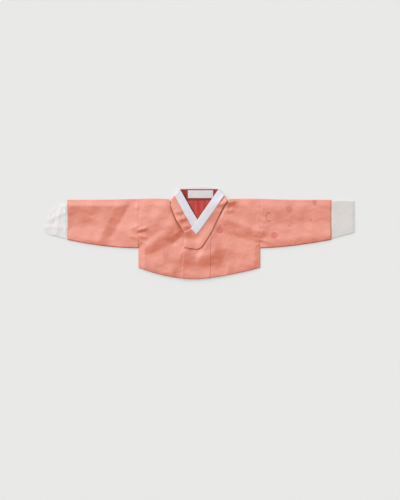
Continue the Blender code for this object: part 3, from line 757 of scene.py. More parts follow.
class Pile:
    """The top of the cloth laid so far, over the body."""

    def __init__(self):
        self.xs = np.arange(-HALF_CHEST - MARGIN, HALF_CHEST + MARGIN, STEP)
        self.ys = np.arange(-HEM_DEPTH - MARGIN, PILE_TOP_Y, STEP)
        self.x, self.y = np.meshgrid(self.xs, self.ys)
        self.top = np.zeros(self.x.shape)

    def cover(self, plan, top):
        """Raises the pile to a piece's top face."""
        inside = within(border(plan), self.x, self.y)
        self.top = np.where(inside, np.maximum(self.top, top), self.top)

    def read(self, field, plan):
        """A field's value at each (x, y), between its cells."""
        column = (plan[..., 0] - self.xs[0]) / STEP
        row = (plan[..., 1] - self.ys[0]) / STEP
        i, j = row.astype(int), column.astype(int)
        up, right = row - i, column - j
        lower = field[i, j] * (1 - right) + field[i, j + 1] * right
        upper = field[i + 1, j] * (1 - right) + field[i + 1, j + 1] * right
        return lower * (1 - up) + upper * up

    def lay(self, plans, layer, lowest, reach=DRAPE_REACH, own=0.0):
        """Lays pieces that are sewn edge to edge: returns each one's rows of points. Their under sides lie at
        lowest where little is beneath, and own is how far their own folds lift them."""
        eased = functools.reduce(np.maximum, neighbours(np.maximum(self.top, lowest - GAP), reach))
        for part in DRAPE_EASE:
            near = list(neighbours(eased, reach * part))
            eased = sum(near) / len(near)
        top = np.maximum(eased + own, self.top) + GAP + layer
        for plan in plans:
            self.cover(plan, top)
        return [with_z(plan, self.read(top, plan)) for plan in plans]


def turn_edges(grid, low=0, high=0, left=0, right=0, drop=ROLL[0]):
    """Rolls the named edges of a grid of points down, as cloth turns at a sewn edge."""
    fall = np.zeros(grid.shape[:2])
    for edge, rows in ((low, fall), (high, fall[::-1]), (left, fall.T), (right, fall.T[::-1])):
        if edge:
            rows[0] = np.maximum(rows[0], drop)
            rows[1] = np.maximum(rows[1], drop * ROLL[1])
    grid[..., 2] -= fall
    return grid


pile = Pile()
print("pile of", pile.top.shape, "heights")

# %% [markdown]
# The collar and its strip are given by sections: the two ends of a straight line across the band, at places
# from the neck's side down to the end of the band. Between them the band is filled in evenly, and behind
# the neck it runs from one side's first section to the other's, bowed a little upwards.

# %% Collar and strip measures
COLLAR_RIGHT = (  # x and y on the neck edge, then on the outer edge
    (46.5, 26.5, 67.6, -1.6),
    (29.5, 2.5, 54.5, -18.9),
    (12.4, -21.5, 42.1, -44.9),
    (-4.6, -45.5, 27.6, -75.7),
    (-12.0, -55.0, 13.8, -98.9),
    (-17.0, -61.5, 5.1, -110.9),
    (-21.0, -66.5, -5.8, -114.8),
    (-28.0, -70.0, -20.0, -112.8),
    (-35.0, -73.5, -35.0, -110.4),
)
COLLAR_LEFT = (
    (-47.0, 26.3, -68.0, -2.0),
    (-33.0, 2.4, -63.9, -19.0),
    (-19.0, -21.3, -53.6, -45.0),
    (-4.6, -45.5, -38.0, -71.0),
    (10.0, -70.0, -20.0, -99.0),
    (28.0, -98.0, 12.0, -128.0),
)
STRIP_RIGHT = (
    (46.5, 26.5, 58.5, 10.5),
    (12.4, -21.5, 27.9, -32.5),
    (-4.6, -45.5, 10.9, -56.5),
    (-12.0, -55.0, 3.0, -67.3),
    (-19.5, -67.0, -6.7, -79.3),
)
STRIP_LEFT = (
    (-47.0, 26.3, -58.8, 10.4),
    (-19.0, -21.3, -35.4, -31.0),
    (-4.6, -45.5, -21.0, -55.2),
    (8.1, -67.0, -8.3, -76.7),
)
STRIP_ARCH = (4.3, 1.2)  # how far each edge bows up behind the neck
COLLAR_ARCH = (0.0, 2.6)
NECK_FOLD_INSET = 3.2  # how far in from the neck's side a band starts to turn under
COLLAR_FOLD = 1.9
STRIP_FOLD = 3.2
COLLAR_BACK_Z = 1.3
COLLAR_FRONT_Z = 3.9
STRIP_FRONT_Z = 5.4
BAND_ROW = 2.0


def neck_outward(section):
    """The direction in plan that a neck side's fold faces."""
    x1, y1, x2, y2 = section
    side = -1 if x1 < 0 else 1
    return side * np.array((y1 - y2, x2 - x1)) / math.hypot(x2 - x1, y2 - y1)


def inset_section(section):
    """A neck side's section moved in to where the band starts to turn under."""
    return np.array(section) - np.tile(neck_outward(section) * NECK_FOLD_INSET, 2)


def across_band(rows):
    """The points across a band at each of its sections."""
    width = math.hypot(*(rows[len(rows) // 2][:2] - rows[len(rows) // 2][2:]))
    share = spaced(width, BAND_ROW)[:, None]
    return np.array([row[:2] + (row[2:] - row[:2]) * share for row in rows])


def band_sections(sections):
    """Sections of a band every couple of millimetres, from its neck side to its end."""
    sections = np.array((inset_section(sections[0]), *sections[1:]))
    middle = (sections[:, :2] + sections[:, 2:]) / 2
    distance = distances(middle)
    wanted = spaced(distance[-1], BAND_ROW) * distance[-1]
    return np.column_stack([np.interp(wanted, distance, column) for column in sections.T])


def back_sections(right, left, arch, share):
    """Sections of a band behind the neck, at shares of the way from the right neck side to the left one."""
    first, last = inset_section(right[0]), inset_section(left[0])
    rows = first + (last - first) * share[:, None]
    bow = 1 - np.abs(2 * share - 1) ** 3
    rows[:, 1] += arch[0] * bow
    rows[:, 3] += arch[1] * bow
    return rows


print("collar sections:", len(COLLAR_RIGHT) + len(COLLAR_LEFT))

# %% [markdown]
# The lining behind the neck. It is the red silk that shows inside the open collar, eased into the collar
# seam, so it runs down from there in soft gathers. Each gather is a ridge that starts at the seam and
# fades. Beside the left strip the seam lies in shade, and cells of a nearly black red draw it.

# %% The lining behind the neck
GATHERS = (  # x, width, height and length
    (-35.0, 4.0, 0.5, 30.0), (-25.0, 3.6, 0.8, 48.0), (-15.0, 4.2, 0.6, 36.0), (-5.5, 3.6, 1.0, 58.0),
    (9.0, 3.6, 0.9, 52.0), (18.5, 4.0, 0.6, 34.0), (28.0, 3.8, 0.8, 44.0), (37.5, 4.2, 0.5, 28.0),
)
GATHER_RISE = 2.2
GATHER_SWAY = 1.6
SWAY_LENGTH = 17.0
LINING_LOW_Y = -72.0
LINING_HALF_WIDTH = (60.0, 22.0)
LINING_TOP_Z = 2.3
LINING_COLUMNS = 110
LINING_ROWS = 60
LINING_WAVES = (0.12, 7.0, 11)
SEAM_SHADE = ((-46.0, -30.0, 5.0, 26.0), (1.2, 2.2, 3.2, 2.2))  # y against the width of the painted shadow beside the left strip

seam = back_sections(COLLAR_RIGHT, COLLAR_LEFT, COLLAR_ARCH, np.linspace(0, 1, 37))


def in_neck_shadow_cells(grid):
    """Which cells of a grid lie in the painted shadow along the left side of the neck."""
    middle = (grid[:-1, :-1] + grid[1:, 1:]) / 2
    edge_y, edge_x = np.array([section[1::-1] for section in COLLAR_LEFT[::-1]]).T
    beside = middle[..., 0] - np.interp(middle[..., 1], edge_y, edge_x)
    return beside < np.interp(middle[..., 1], *SEAM_SHADE)


def lining_seam_y(x):
    """y of the collar's seam on the back."""
    return np.interp(x, seam[::-1, 2], seam[::-1, 3]) - 0.5


def lining_height(x, y):
    """Top of the lining, with its gathers."""
    z = np.full(np.shape(x), LINING_TOP_Z)
    for centre, width, height, length in GATHERS:
        fading = ease(1 - (lining_seam_y(x) - y) / length)
        swayed = centre + GATHER_SWAY * np.sin((y + 7.0 * centre) / SWAY_LENGTH)
        z = z + GATHER_RISE * height * fading * np.exp(-np.abs((x - swayed) / width) ** 1.4)
    return z + waves(x, 0.3 * y, LINING_WAVES) * ease((lining_seam_y(x) - y) / SEAM_EASE)


share = np.linspace(0, 1, LINING_ROWS + 1)[:, None]
half = LINING_HALF_WIDTH[1] + (LINING_HALF_WIDTH[0] - LINING_HALF_WIDTH[1]) * share
x = half * np.linspace(-1, 1, LINING_COLUMNS + 1)
y = LINING_LOW_Y + (lining_seam_y(x[-1]) - LINING_LOW_Y) * share
lining_plan = np.dstack((x, y))
lining_cut = Cut()
lining_numbers = lining_cut.add(with_z(lining_plan, lining_height(x, y)))
# Cells beside the left strip take the nearly black red: a painted shadow.
lining_cut.cover(lining_numbers, lining_plan, finish=in_neck_shadow_cells(lining_plan).astype(int))
neck_lining = make_cloth("neck_lining", lining_cut, CLOTH, (lining_silk, painted_neck_shadow))
pile.cover(lining_plan, lining_height(pile.x, pile.y))
print("lining:", len(neck_lining.data.polygons), "faces")

# %% [markdown]
# The two halves of the body. Each is a back and a front cut in one length, folded over the shoulder and
# sewn to the other layer down the side. The plan of one half is a grid from hem to top; the back lies flat
# on the table and the front takes its height from the pile, so that it drapes over whatever is already
# there.

# %% Plans of the body
CELL = 2.2
NECK_CORNER_X = (50.0, 65.0)
NECK_CORNER_Y = -4.0
SIDE_TAPER = 24.0  # over which the plan narrows to leave room for the side fold


def body_plan(side, x_hem, x_top, y_top):
    """Rows of (x, y) from hem to top over one half of the body, a column for each pair of x."""
    low = (SIDE_DEPTH - ARMHOLE_DEPTH) / SIDE_DEPTH
    below = spaced(SIDE_DEPTH * low, CELL)[:-2] * low
    above = low + spaced(SIDE_DEPTH * (1 - low), CELL)[1:] * (1 - low)
    share = np.concatenate((below, (low,), above))[:, None]
    y_hem = hem(side * x_hem)
    x = x_hem + (x_top - x_hem) * share
    inset = FOLD * np.clip((x - HALF_CHEST + SIDE_TAPER) / SIDE_TAPER, 0.0, 1.0)
    side_rows = len(below) + 1
    x[:side_rows] -= inset[:side_rows]
    return np.dstack((side * x, y_hem + (y_top - y_hem) * share)), side_rows


def half_body_plans(side):
    """Plans of the back and of the front of one half, alike as far as the neck's side."""
    neck_side = NECK_SIDE_X[side]
    across = HALF_CHEST - (HALF_CHEST - neck_side) * spaced(HALF_CHEST - neck_side, CELL)
    shoulder_y = shoulder(across) - FOLD
    back_end = GAP / 2 + side * CENTRE_BACK_X
    middle = spaced(neck_side - back_end, CELL)[1:]
    back_x = np.append(across, neck_side + (back_end - neck_side) * middle)
    cut_away = np.interp(back_x[len(across):], NECK_CORNER_X, (BACK_NECK_Y, NECK_CORNER_Y))
    back_top = np.append(shoulder_y, cut_away)
    back, side_rows = body_plan(side, back_x, back_x, back_top)
    seam_hem, seam_top = FRONT_SEAM_X[side]
    hem_x = np.append(across, neck_side + (seam_hem - neck_side) * middle)
    top_x = np.append(across, neck_side + (seam_top - neck_side) * middle)
    line_x, line_y = zip(*NECKLINES[side], (neck_side, shoulder_y[-1]))
    front_y = np.append(shoulder_y, np.interp(top_x[len(across):], line_x, line_y))
    front, _ = body_plan(side, hem_x, top_x, front_y)
    return back, front, len(across), side_rows


PRESSED = 0.6  # how far the layer above presses a fold down
FRONT_BOTTOM = LAYER + INSIDE + PRESSED
front_folds = lift(pile.x, pile.y) - PRESSED
plans = {side: half_body_plans(side) for side in (-1, 1)}
print("left half:", plans[-1][0].shape[:2], "points a layer")

# %% [markdown]
# The inner overlap is a panel added to the left front. It is hidden under the right front, but the jacket
# couldn't close without it, and the cloth above lies higher where it is.

# %% Overlap plans
OVERLAP_HEIGHT = 80.0  # roughly, to space its rows
INNER_OVERLAP_TOP = ((-27.7, -72.4), (-14.0, -95.0), (4.0, -117.0), (16.0, -120.0), (32.0, -112.0))
INNER_OVERLAP_HEM = (-27.7, 36.0)
OUTER_OVERLAP_TOP = (
    (-35.0, -102.0), (-20.0, -104.5), (-6.0, -106.0), (0.0, -103.0),
    (8.0, -94.0), (21.5, -73.0), (27.9, -59.4),
)
OUTER_OVERLAP_HEM = (-42.0, 25.2)


def overlap_plan(top, hem_ends, shorter):
    """Rows of (x, y) from the hem to the neckline over a panel added to a front's edge."""
    top_x, top_y = np.array(top).T
    across = spaced(top_x[-1] - top_x[0], CELL)
    share = spaced(OVERLAP_HEIGHT, CELL)[:, None]
    x_top = top_x[0] + (top_x[-1] - top_x[0]) * across
    y_top = np.interp(x_top, top_x, top_y)
    x_hem = hem_ends[0] + (hem_ends[1] - hem_ends[0]) * across
    y_hem = hem(x_hem) + shorter
    return np.dstack((x_hem + (x_top - x_hem) * share, y_hem + (y_top - y_hem) * share))


inner_plan = overlap_plan(INNER_OVERLAP_TOP, INNER_OVERLAP_HEM, 2.0)
left_front, inner_overlap = pile.lay(
    (plans[-1][1], inner_plan), LAYER, FRONT_BOTTOM, PANEL_REACH, front_folds)
print("inner overlap:", inner_overlap.shape[:2], "points")

# %% [markdown]
# The collar and its white strip go on next, left side first, then the right front and the outer overlap
# cover the left side, and the right side of the collar closes the stack. Doing it in the order in which the
# jacket is folded is what makes the layers lie over each other the right way.

# %% Lay the rest of the stack
COLLAR_LAYER = 1.2
COLLAR_WAVES = (0.08, 12.0, 21)
COLLAR_CLIMB = 1.7  # of its right side over the left one
CLIMB_FROM_Y = 12.0
CLIMB_LENGTH = 42.0
LEFT_PUCKERS = (  # ridges of the collar's own, with the columns of the folds
    (-52, -19, -57, -17, 4.5, 1.3),
    (-45, -29, -50, -27, 4, 3),
    (-36, -44, -43, -44, 4.4, 3.2),
    (-29, -62, -33, -60, 3, 2),
)
RIGHT_PUCKERS = (
    (43, -10, 52, -7, 6.5, 3),
    (40, -26, 50, -28, 4, 0.6),
    (24, -26, -4, -66, 12, 2.1),
    (-34, -74, -26, -71, 7, 1.6),
    (-20, -82, 4, -80, 12, 1),
    (-6, -98, 4, -106, 4, 0.4),
)


def lay_band(sections, layer, lowest, reach=DRAPE_REACH, puckers=()):
    """Lays one front part of a band."""
    own = ridges(pile.x, pile.y, puckers)
    return pile.lay((across_band(band_sections(sections)),), layer, lowest, reach, own)[0]


collar_bottom = COLLAR_FRONT_Z + waves(pile.x, pile.y, COLLAR_WAVES)
climb = COLLAR_CLIMB * ease((CLIMB_FROM_Y - pile.y) / CLIMB_LENGTH)
left_collar = lay_band(COLLAR_LEFT, COLLAR_LAYER, collar_bottom, COLLAR_REACH, LEFT_PUCKERS)
left_strip = lay_band(STRIP_LEFT, LAYER, STRIP_FRONT_Z)
outer_plan = overlap_plan(OUTER_OVERLAP_TOP, OUTER_OVERLAP_HEM, 0.0)
right_front, outer_overlap = pile.lay(
    (plans[1][1], outer_plan), LAYER, FRONT_BOTTOM, PANEL_REACH, front_folds)
right_collar = lay_band(COLLAR_RIGHT, COLLAR_LAYER, collar_bottom + climb, COLLAR_REACH, RIGHT_PUCKERS)
right_strip = lay_band(STRIP_RIGHT, LAYER, STRIP_FRONT_Z)
print("top of the pile, mm:", round(float(pile.top.max()), 2))

# %% [markdown]
# Now the body halves become meshes. The front and the back share their points along the shoulder and down
# the side, with a few rows of points round the fold between them, so the cloth has no cut there. The lowest
# row of each hem is in the darker red of the edge: partly the hair of red lining that shows there on the
# real jacket, and partly painted shade under the rolled edge.

# %% Body halves
# The jacket's cloths: satin, lining, and the edge red, which is partly painted shade.
JACKET_CLOTH = (satin, lining_silk, rolled_edge_and_shade)
EDGE_SHADE_FINISH = 2
FOLD_STEPS = 7
LOOP = math.pi * FOLD  # length of cloth round a fold
SEWN_DROP = 0.25  # how far a sewn edge sinks
ARMHOLE_DROPS = (0.3, 0.05)  # and the first two rows at an armhole


def turn(under, upper, outward, radius):
    """Rows round a fold, between a line of points of the lower layer and the same line of the upper one."""
    rows = []
    for step in range(1, FOLD_STEPS):
        angle = math.pi * step / FOLD_STEPS
        row = under.copy()
        row[..., :2] += outward * radius * math.sin(angle)
        row[..., 2] += (upper[..., 2] - under[..., 2]) * (1 - math.cos(angle)) / 2
        rows.append(row)
    return np.array(rows)


def over_shoulder(grid):
    """Place on the cut of points of the back, which runs on over the shoulder."""
    return np.dstack((grid[..., 0], 2 * shoulder(grid[..., 0]) - grid[..., 1] + LOOP))


def body(side, front, **bolt):
    """One half of the body."""
    back_plan, _, shoulder_count, side_rows = plans[side]
    cut = Cut()
    back = with_z(back_plan, 0.0)
    turn_edges(front, low=1, high=1)
    turn_edges(front, right=1, drop=SEWN_DROP)
    front[side_rows:, :2, 2] -= ARMHOLE_DROPS
    back_numbers, front_numbers = cut.add(back), cut.add(front)
    hem_row = np.zeros((len(front) - 1, 1), int)
    # The hem's lowest row takes the edge red: the lining's hair and painted shade under the edge.
    hem_row[0] = EDGE_SHADE_FINISH
    cut.cover(back_numbers, over_shoulder(back), turned=side < 0)
    cut.cover(front_numbers, front[..., :2], turned=side > 0, finish=hem_row)
    shared = slice(0, shoulder_count)
    over = turn(back[-1, shared], front[-1, shared], np.array((0.0, 1.0)), FOLD)
    numbers = np.vstack((back_numbers[-1:, shared], cut.add(over), front_numbers[-1:, shared]))
    along = np.linspace(1, 0, FOLD_STEPS + 1)[:, None]
    x = np.broadcast_to(front[-1, shared, 0], numbers.shape)
    cut.cover(numbers, np.dstack((x, front[-1, shared, 1] + LOOP * along)), turned=side < 0)
    seam = slice(0, side_rows)
    round_side = turn(back[seam, 0], front[seam, 0], np.array((float(side), 0.0)), FOLD)
    numbers = np.vstack((back_numbers[None, seam, 0], cut.add(round_side), front_numbers[None, seam, 0]))
    y = np.broadcast_to(front[seam, 0, 1], numbers.shape)
    cut.cover(numbers, np.dstack((front[seam, 0, 0] + side * LOOP * along, y)), turned=side < 0)
    name = "left_body_cloth" if side < 0 else "right_body_cloth"
    return make_cloth(name, cut, CLOTH, JACKET_CLOTH, **bolt), cut


left_body, left_body_cut = body(-1, left_front, shift=(-42.3, -67.2), turned=-1, motifs=(0.9, 0.5, 0.25))
right_body, right_body_cut = body(1, right_front, shift=(46.5, -69.9), turned=-1, motifs=(1.0, 0.1, 0.3))
print("body halves:", len(left_body.data.polygons), len(right_body.data.polygons), "faces")

# %% [markdown]
# Single panels: the two overlaps. Each is one layer with its edges rolled down a little, which is what a
# turned and pressed edge looks like. A seam that shows, as the outer one's to the front, is nearly level
# and has a last column of cells in the darker red of the edge, partly painted shade along the seam; the
# lowest row of a jacket panel takes the same red, painted shade under its hem.

# %% Overlaps
def single_layer(name, grid, wall, finishes, edges, sewn=None, **bolt):
    """A piece of one layer from its top face, with its free edges rolled and its sewn ones nearly level."""
    turn_edges(grid, **edges)
    turn_edges(grid, **(sewn or {}), drop=SEWN_DROP)
    finish = np.zeros((len(grid) - 1, grid.shape[1] - 1), int)
    # The lowest row and a sewn seam's last column take the edge red, partly painted shade.
    if len(finishes) > 1:
        finish[0] = EDGE_SHADE_FINISH
    if sewn:
        finish[:, -1] = EDGE_SHADE_FINISH
    cut = Cut()
    cut.cover(cut.add(grid), grid[..., :2], finish=finish)
    return make_cloth(name, cut, wall, finishes, **bolt), cut


ALL_EDGES = {"low": 1, "high": 1, "left": 1, "right": 1}
inner_panel, inner_panel_cut = single_layer(
    "inner_overlap_cloth", inner_overlap, CLOTH, JACKET_CLOTH, ALL_EDGES, shift=(12.0, -150.0),
    motifs=(0.9, 0.5, 0.3))
outer_panel, outer_panel_cut = single_layer(
    "outer_overlap_cloth", outer_overlap, CLOTH, JACKET_CLOTH, {"low": 1, "left": 1}, {"right": 1, "high": 1},
    shift=(-64.0, -196.0), motifs=(0.0, 0.0, 0.2))
print("overlaps:", len(inner_panel.data.polygons), len(outer_panel.data.polygons), "faces")

# %% [markdown]
# The collar and the strip are long bands in one length: down the right front, under at the neck's side,
# face down behind the neck, out again and down the left front. Because the wall's inner side has a darker
# copy of the lining, painted shade, the part behind the neck shows red inside, as on the real collar,
# with a nearly black painted shadow down its left side.

# %% Collar and strip
BACK_ROWS = 48
BAND_DROPS = {1: 0.4, -1: 0.3}


def band_place(grid):
    """Place on the cut of a band: along it and across it."""
    along = distances(grid[:, grid.shape[1] // 2])
    across = distances(grid[len(grid) // 4])
    return np.dstack(np.meshgrid(across, along))


def band(name, right, left, right_sections, left_sections, back_z, arch, fold, wall, finishes, painted_shade_finish,
         **bolt):
    """A band laid round the neck."""
    share = np.linspace(0, 1, BACK_ROWS)
    behind = with_z(across_band(back_sections(right_sections, left_sections, arch, share)), back_z)
    for side, front in ((1, right), (-1, left)):
        turn_edges(front, high=1, left=1, right=1, drop=BAND_DROPS[side])
    columns = min(right.shape[1], left.shape[1], behind.shape[1])
    right, left, behind = (matched(grid, columns) for grid in (right, left, behind))
    right_turn = turn(behind[0], right[0], neck_outward(right_sections[0]), fold)[::-1]
    left_turn = turn(behind[-1], left[0], neck_outward(left_sections[0]), fold)
    grid = np.concatenate((right[::-1], right_turn, behind, left_turn, left))
    edge = np.zeros((len(grid) - 1, columns - 1), int)
    # The right front's outer column takes the edge red: painted shade along the collar's outer seam.
    edge[:len(right) - 1, -1] = painted_shade_finish
    at_back = slice(len(right) + len(right_turn), -len(left) - len(left_turn))
    # Behind the neck the same cells show the nearly black painted shadow on the wall's inner side.
    edge[at_back] = painted_shade_finish * in_neck_shadow_cells(grid)[at_back]
    cut = Cut()
    cut.cover(cut.add(grid), band_place(grid), finish=edge)
    return make_cloth(name, cut, wall, finishes, **bolt), cut, grid


def matched(grid, columns):
    """The grid with this many columns, spaced as before."""
    if grid.shape[1] == columns:
        return grid
    old = np.linspace(0, 1, grid.shape[1])
    new = np.linspace(0, 1, columns)
    return np.array([[np.interp(new, old, values) for values in row.T] for row in grid]).transpose(0, 2, 1)


# The collar's inner side takes the lining painted darker, as painted shade.
collar, collar_cut, collar_grid = band(
    "collar_band", right_collar, left_collar, COLLAR_RIGHT, COLLAR_LEFT, COLLAR_BACK_Z, COLLAR_ARCH,
    COLLAR_FOLD, BAND, (satin, shaded_inner_collar, rolled_edge_and_shade, painted_neck_shadow), EDGE_SHADE_FINISH,
    shift=(18.0, 60.0), motifs=(0.0, 0.0, 0.2))
strip, strip_cut, strip_grid = band(
    "white_neck_strip", right_strip, left_strip, STRIP_RIGHT, STRIP_LEFT, 0.0, STRIP_ARCH,
    STRIP_FOLD, 0.9, (strip_cotton,), 0)
print("bands:", collar_grid.shape[:2], strip_grid.shape[:2], "points")

# %% [markdown]
# The label is a short piece of bare ribbon, a little wavy, sewn to the inside of the collar.

# %% Label
LABEL_SIZE = (58.0, 18.0)
LABEL_CENTRE = (2.5, 12.8)
LABEL_TOP_Z = 3.35
LABEL_WAVES = (0.12, 24.0, 31)


def label_height(x, y):
    """Top of the label, which is a little wavy."""
    return LABEL_TOP_Z + waves(x, y, LABEL_WAVES)


label_x, label_y = np.meshgrid(
    LABEL_CENTRE[0] + LABEL_SIZE[0] * (spaced(LABEL_SIZE[0], 1.5) - 0.5),
    LABEL_CENTRE[1] + LABEL_SIZE[1] * (spaced(LABEL_SIZE[1], 1.5) - 0.5),
)
label_grid = np.dstack((label_x, label_y, label_height(label_x, label_y)))
label, label_cut = single_layer("woven_label", label_grid, 0.5, (label_ribbon,), ALL_EDGES)
print("label:", len(label.data.polygons), "faces")

# %% [markdown]
# Sleeves are flat tubes: straight along the top fold, with one seam below that rises to the wrist. The tube
# is one ring of points for every couple of millimetres of its length, with the same folds function as the
# body, so that a ridge can run on from the body into the sleeve.

# %% Sleeves
LOW_FOLD_SHADE_ROWS = 3  # rows of the lower fold in the edge red: the lining's edge that shows there, and painted shade under the fold
SLEEVE_CELL = 2.4
SLEEVE_COLUMNS = 46
SLEEVE_ENDS = ((0, 0.3), (1, 0.05), (-1, 0.5), (-2, 0.08))  # rings that sink at the armhole and the wrist


def unit(steps):
    """Each row of steps at a length of 1."""
    return steps / np.linalg.norm(steps, axis=1)[:, None]


def flat_tube(plan, heights, fold, ends=()):
    """A tube pressed flat. plan holds, for each ring, (x, y) from its lower to its upper edge, and heights
    gives z."""
    length = np.linalg.norm(plan[:, -1] - plan[:, 0], axis=1)[:, None]
    down, up = unit(plan[:, 0] - plan[:, 1]), unit(plan[:, -1] - plan[:, -2])
    share = (np.linalg.norm(plan - plan[:, :1], axis=2) / length)[..., None]
    low, high = plan[:, 0] - fold * down, plan[:, -1] - fold * up
    inner = plan + (low - plan[:, 0])[:, None] * (1 - share) + (high - plan[:, -1])[:, None] * share
    under_z, upper_z = heights(inner[..., 0], inner[..., 1])
    for ring, drop in ends:
        upper_z[ring] -= drop
    under, upper = with_z(inner, under_z), with_z(inner, upper_z)
    over = turn(under[:, -1], upper[:, -1], up, fold)
    back = turn(upper[:, 0], under[:, 0], down, fold)
    over, back = over.transpose(1, 0, 2), back.transpose(1, 0, 2)
    ring = np.concatenate((under, over, upper[:, ::-1], back), axis=1)
    loop = math.pi * fold
    part = np.arange(1, FOLD_STEPS) / FOLD_STEPS
    top_y, low_y = inner[:, -1, 1:], inner[:, 0, 1:]
    v = np.concatenate((
        2 * top_y - inner[..., 1] + loop, top_y + loop * (1 - part), inner[:, ::-1, 1], low_y - loop * part,
        low_y - loop,
    ), axis=1)
    u = np.column_stack((ring[..., 0], ring[:, 0, 0]))
    cut = Cut()
    numbers = cut.add(ring)
    return cut, np.column_stack((numbers, numbers[:, 0])), np.dstack((u, v)), upper


def sleeve(side, **bolt):
    """One sleeve, from the armhole to the cuff."""
    length = SLEEVE_END - HALF_CHEST - SEAM_GAP
    x = side * (HALF_CHEST + SEAM_GAP + length * spaced(length, SLEEVE_CELL))
    share = np.linspace(0, 1, SLEEVE_COLUMNS)
    low, high = sleeve_low(x)[:, None], shoulder(x)[:, None]
    y = low + (high - low) * share
    plan = np.dstack((np.broadcast_to(x[:, None], y.shape), y))

    def heights(x, y):
        return np.zeros(x.shape), 2 * LAYER + INSIDE + lift(x, y)

    cut, numbers, places, _ = flat_tube(plan, heights, FOLD, SLEEVE_ENDS)
    finish = np.zeros((len(plan) - 1, places.shape[1] - 1), int)
    # The wrist ring and the lower fold's first rows take the edge red: the lining's edge and painted shade.
    finish[-1] = EDGE_SHADE_FINISH
    finish[:, -FOLD_STEPS:-FOLD_STEPS + LOW_FOLD_SHADE_ROWS] = EDGE_SHADE_FINISH
    cut.cover(numbers, places, side < 0, finish)
    name = "left_sleeve_cloth" if side < 0 else "right_sleeve_cloth"
    return make_cloth(name, cut, CLOTH, JACKET_CLOTH, **bolt), cut


left_sleeve, left_sleeve_cut = sleeve(-1, shift=(-232.0, -130.0), motifs=(0.1, 0.1, 0.3))
right_sleeve, right_sleeve_cut = sleeve(1, shift=(171.8, -81.7), motifs=(1.0, 0.75, 0.85))
print("sleeves:", len(left_sleeve.data.polygons), len(right_sleeve.data.polygons), "faces")

# %% [markdown]
# The cuffs are thin white tubes set into the sleeve ends, and the right one has a narrow doubled hem. The
# right one lies neat and the left one is crumpled, so its end line is uneven and its upper layer has
# sharper, more random creases.

# %% Cuffs
CUFF_WALL = 0.5
CUFF_FOLD = 1.3
CUFF_HIDDEN = 5.0
CUFF_START = SLEEVE_END + GAP
CUFF_HEM = 5.0
CUFF_CELL = 1.8
CUFF_TOP_Z = 2.35
CUFF_UNDER_Z = 0.95  # inside the sleeve, from where it comes down to the table
CUFF_RISE = 0.25
CRUMPLE = ((0.3, 0.1, 15.0, 41), (0.15, 0.05, 6.0, 43))  # height left and right, length and seed
RIGHT_CUFF = ((CUFF_START, -90.0, -2.3), (356.0, -75.5, -2.3))
LEFT_CUFF_START = (-91.0, -9.0)
LEFT_CUFF_END = (
    (-339.0, -81.6), (-349.4, -77.5), (-356.0, -63.7), (-350.5, -55.7),
    (-347.5, -41.9), (-342.5, -32.7), (-336.7, -21.2), (-320.6, -10.8),
)
CUFF_FOLDS = (
    (-306, -30, -344, -44, 7, 1.6),
    (-306, -66, -348, -62, 7, 1.8),
    (-318, -12, -330, -80, 6, 1.2),
    (306, -70, 352, -58, 10, 0.5),
)


def cuff_heights(x, y):
    """Heights of the two layers of a cuff, lifted into the sleeve at its start."""
    out = ease((np.abs(x) - SLEEVE_END + 1.0) / 7.0)
    inside = np.ones(np.shape(x))
    inside[:, (0, -1)] = 0.0
    inside[:, (1, -2)] = 0.6
    crumple = sum(
        np.where(x < 0, left, right) * crinkle(x, y, size, seed) for left, right, size, seed in CRUMPLE)
    upper = CUFF_TOP_Z + out * (CUFF_RISE + inside * (ridges(x, y, CUFF_FOLDS) + crumple))
    return CUFF_UNDER_Z * (1 - out), upper


def cuff(name, start, end):
    """One cuff between two lines of points, both from the lower edge to the upper edge."""
    length = np.linalg.norm(end - start, axis=1).max()
    share = spaced(length, CUFF_CELL)
    plan = start + (end - start) * share[:, None, None]
    side = -1 if start[0, 0] < 0 else 1
    hidden = start - (side * CUFF_HIDDEN, 0.0)
    plan = np.concatenate((hidden[None], (hidden[None] + start) / 2, plan))
    cut, numbers, places, upper = flat_tube(plan, cuff_heights, CUFF_FOLD, ((-1, 0.25),))
    hem_rows = (np.linspace(0, 1, len(plan) - 1) > 1 - CUFF_HEM / length).astype(int)[:, None] * (side > 0)
    cut.cover(numbers, places, side < 0, hem_rows)
    # The left cuff takes the gauze painted lighter, painted light, and the right one the gauze painted
    # darker, painted shade.
    finishes = (gauze_painted_light,) if side < 0 else (gauze_painted_shade, cuff_doubled)
    return make_cloth(name, cut, CUFF_WALL, finishes), cut, upper


def resampled(line, count):
    """A line of points with more points, evenly along it."""
    line = np.array(line)
    distance = distances(line)
    wanted = np.linspace(0, distance[-1], count)
    return np.column_stack([np.interp(wanted, distance, column) for column in line.T])


CUFF_COUNT = 44
right_start, right_end = (
    resampled(((x, low), (x, high)), CUFF_COUNT) for x, low, high in RIGHT_CUFF
)
left_start = resampled([(-CUFF_START, y) for y in LEFT_CUFF_START], CUFF_COUNT)
left_end = resampled(LEFT_CUFF_END, CUFF_COUNT)
left_cuff, left_cuff_cut, left_cuff_top = cuff("left_cuff_cloth", left_start, left_end)
right_cuff, right_cuff_cut, right_cuff_top = cuff("right_cuff_cloth", right_start, right_end)
print("cuffs:", len(left_cuff.data.polygons), len(right_cuff.data.polygons), "faces")

# %% [markdown]
# Stitches repeat along a line, which is work for Geometry Nodes. The tree takes a line of edges, walks
# along it at a set pitch, and puts one short rounded stitch at each step, turned along the line. Pitch,
# length and width are inputs, so one tree sews the label, the strip and the cuffs.

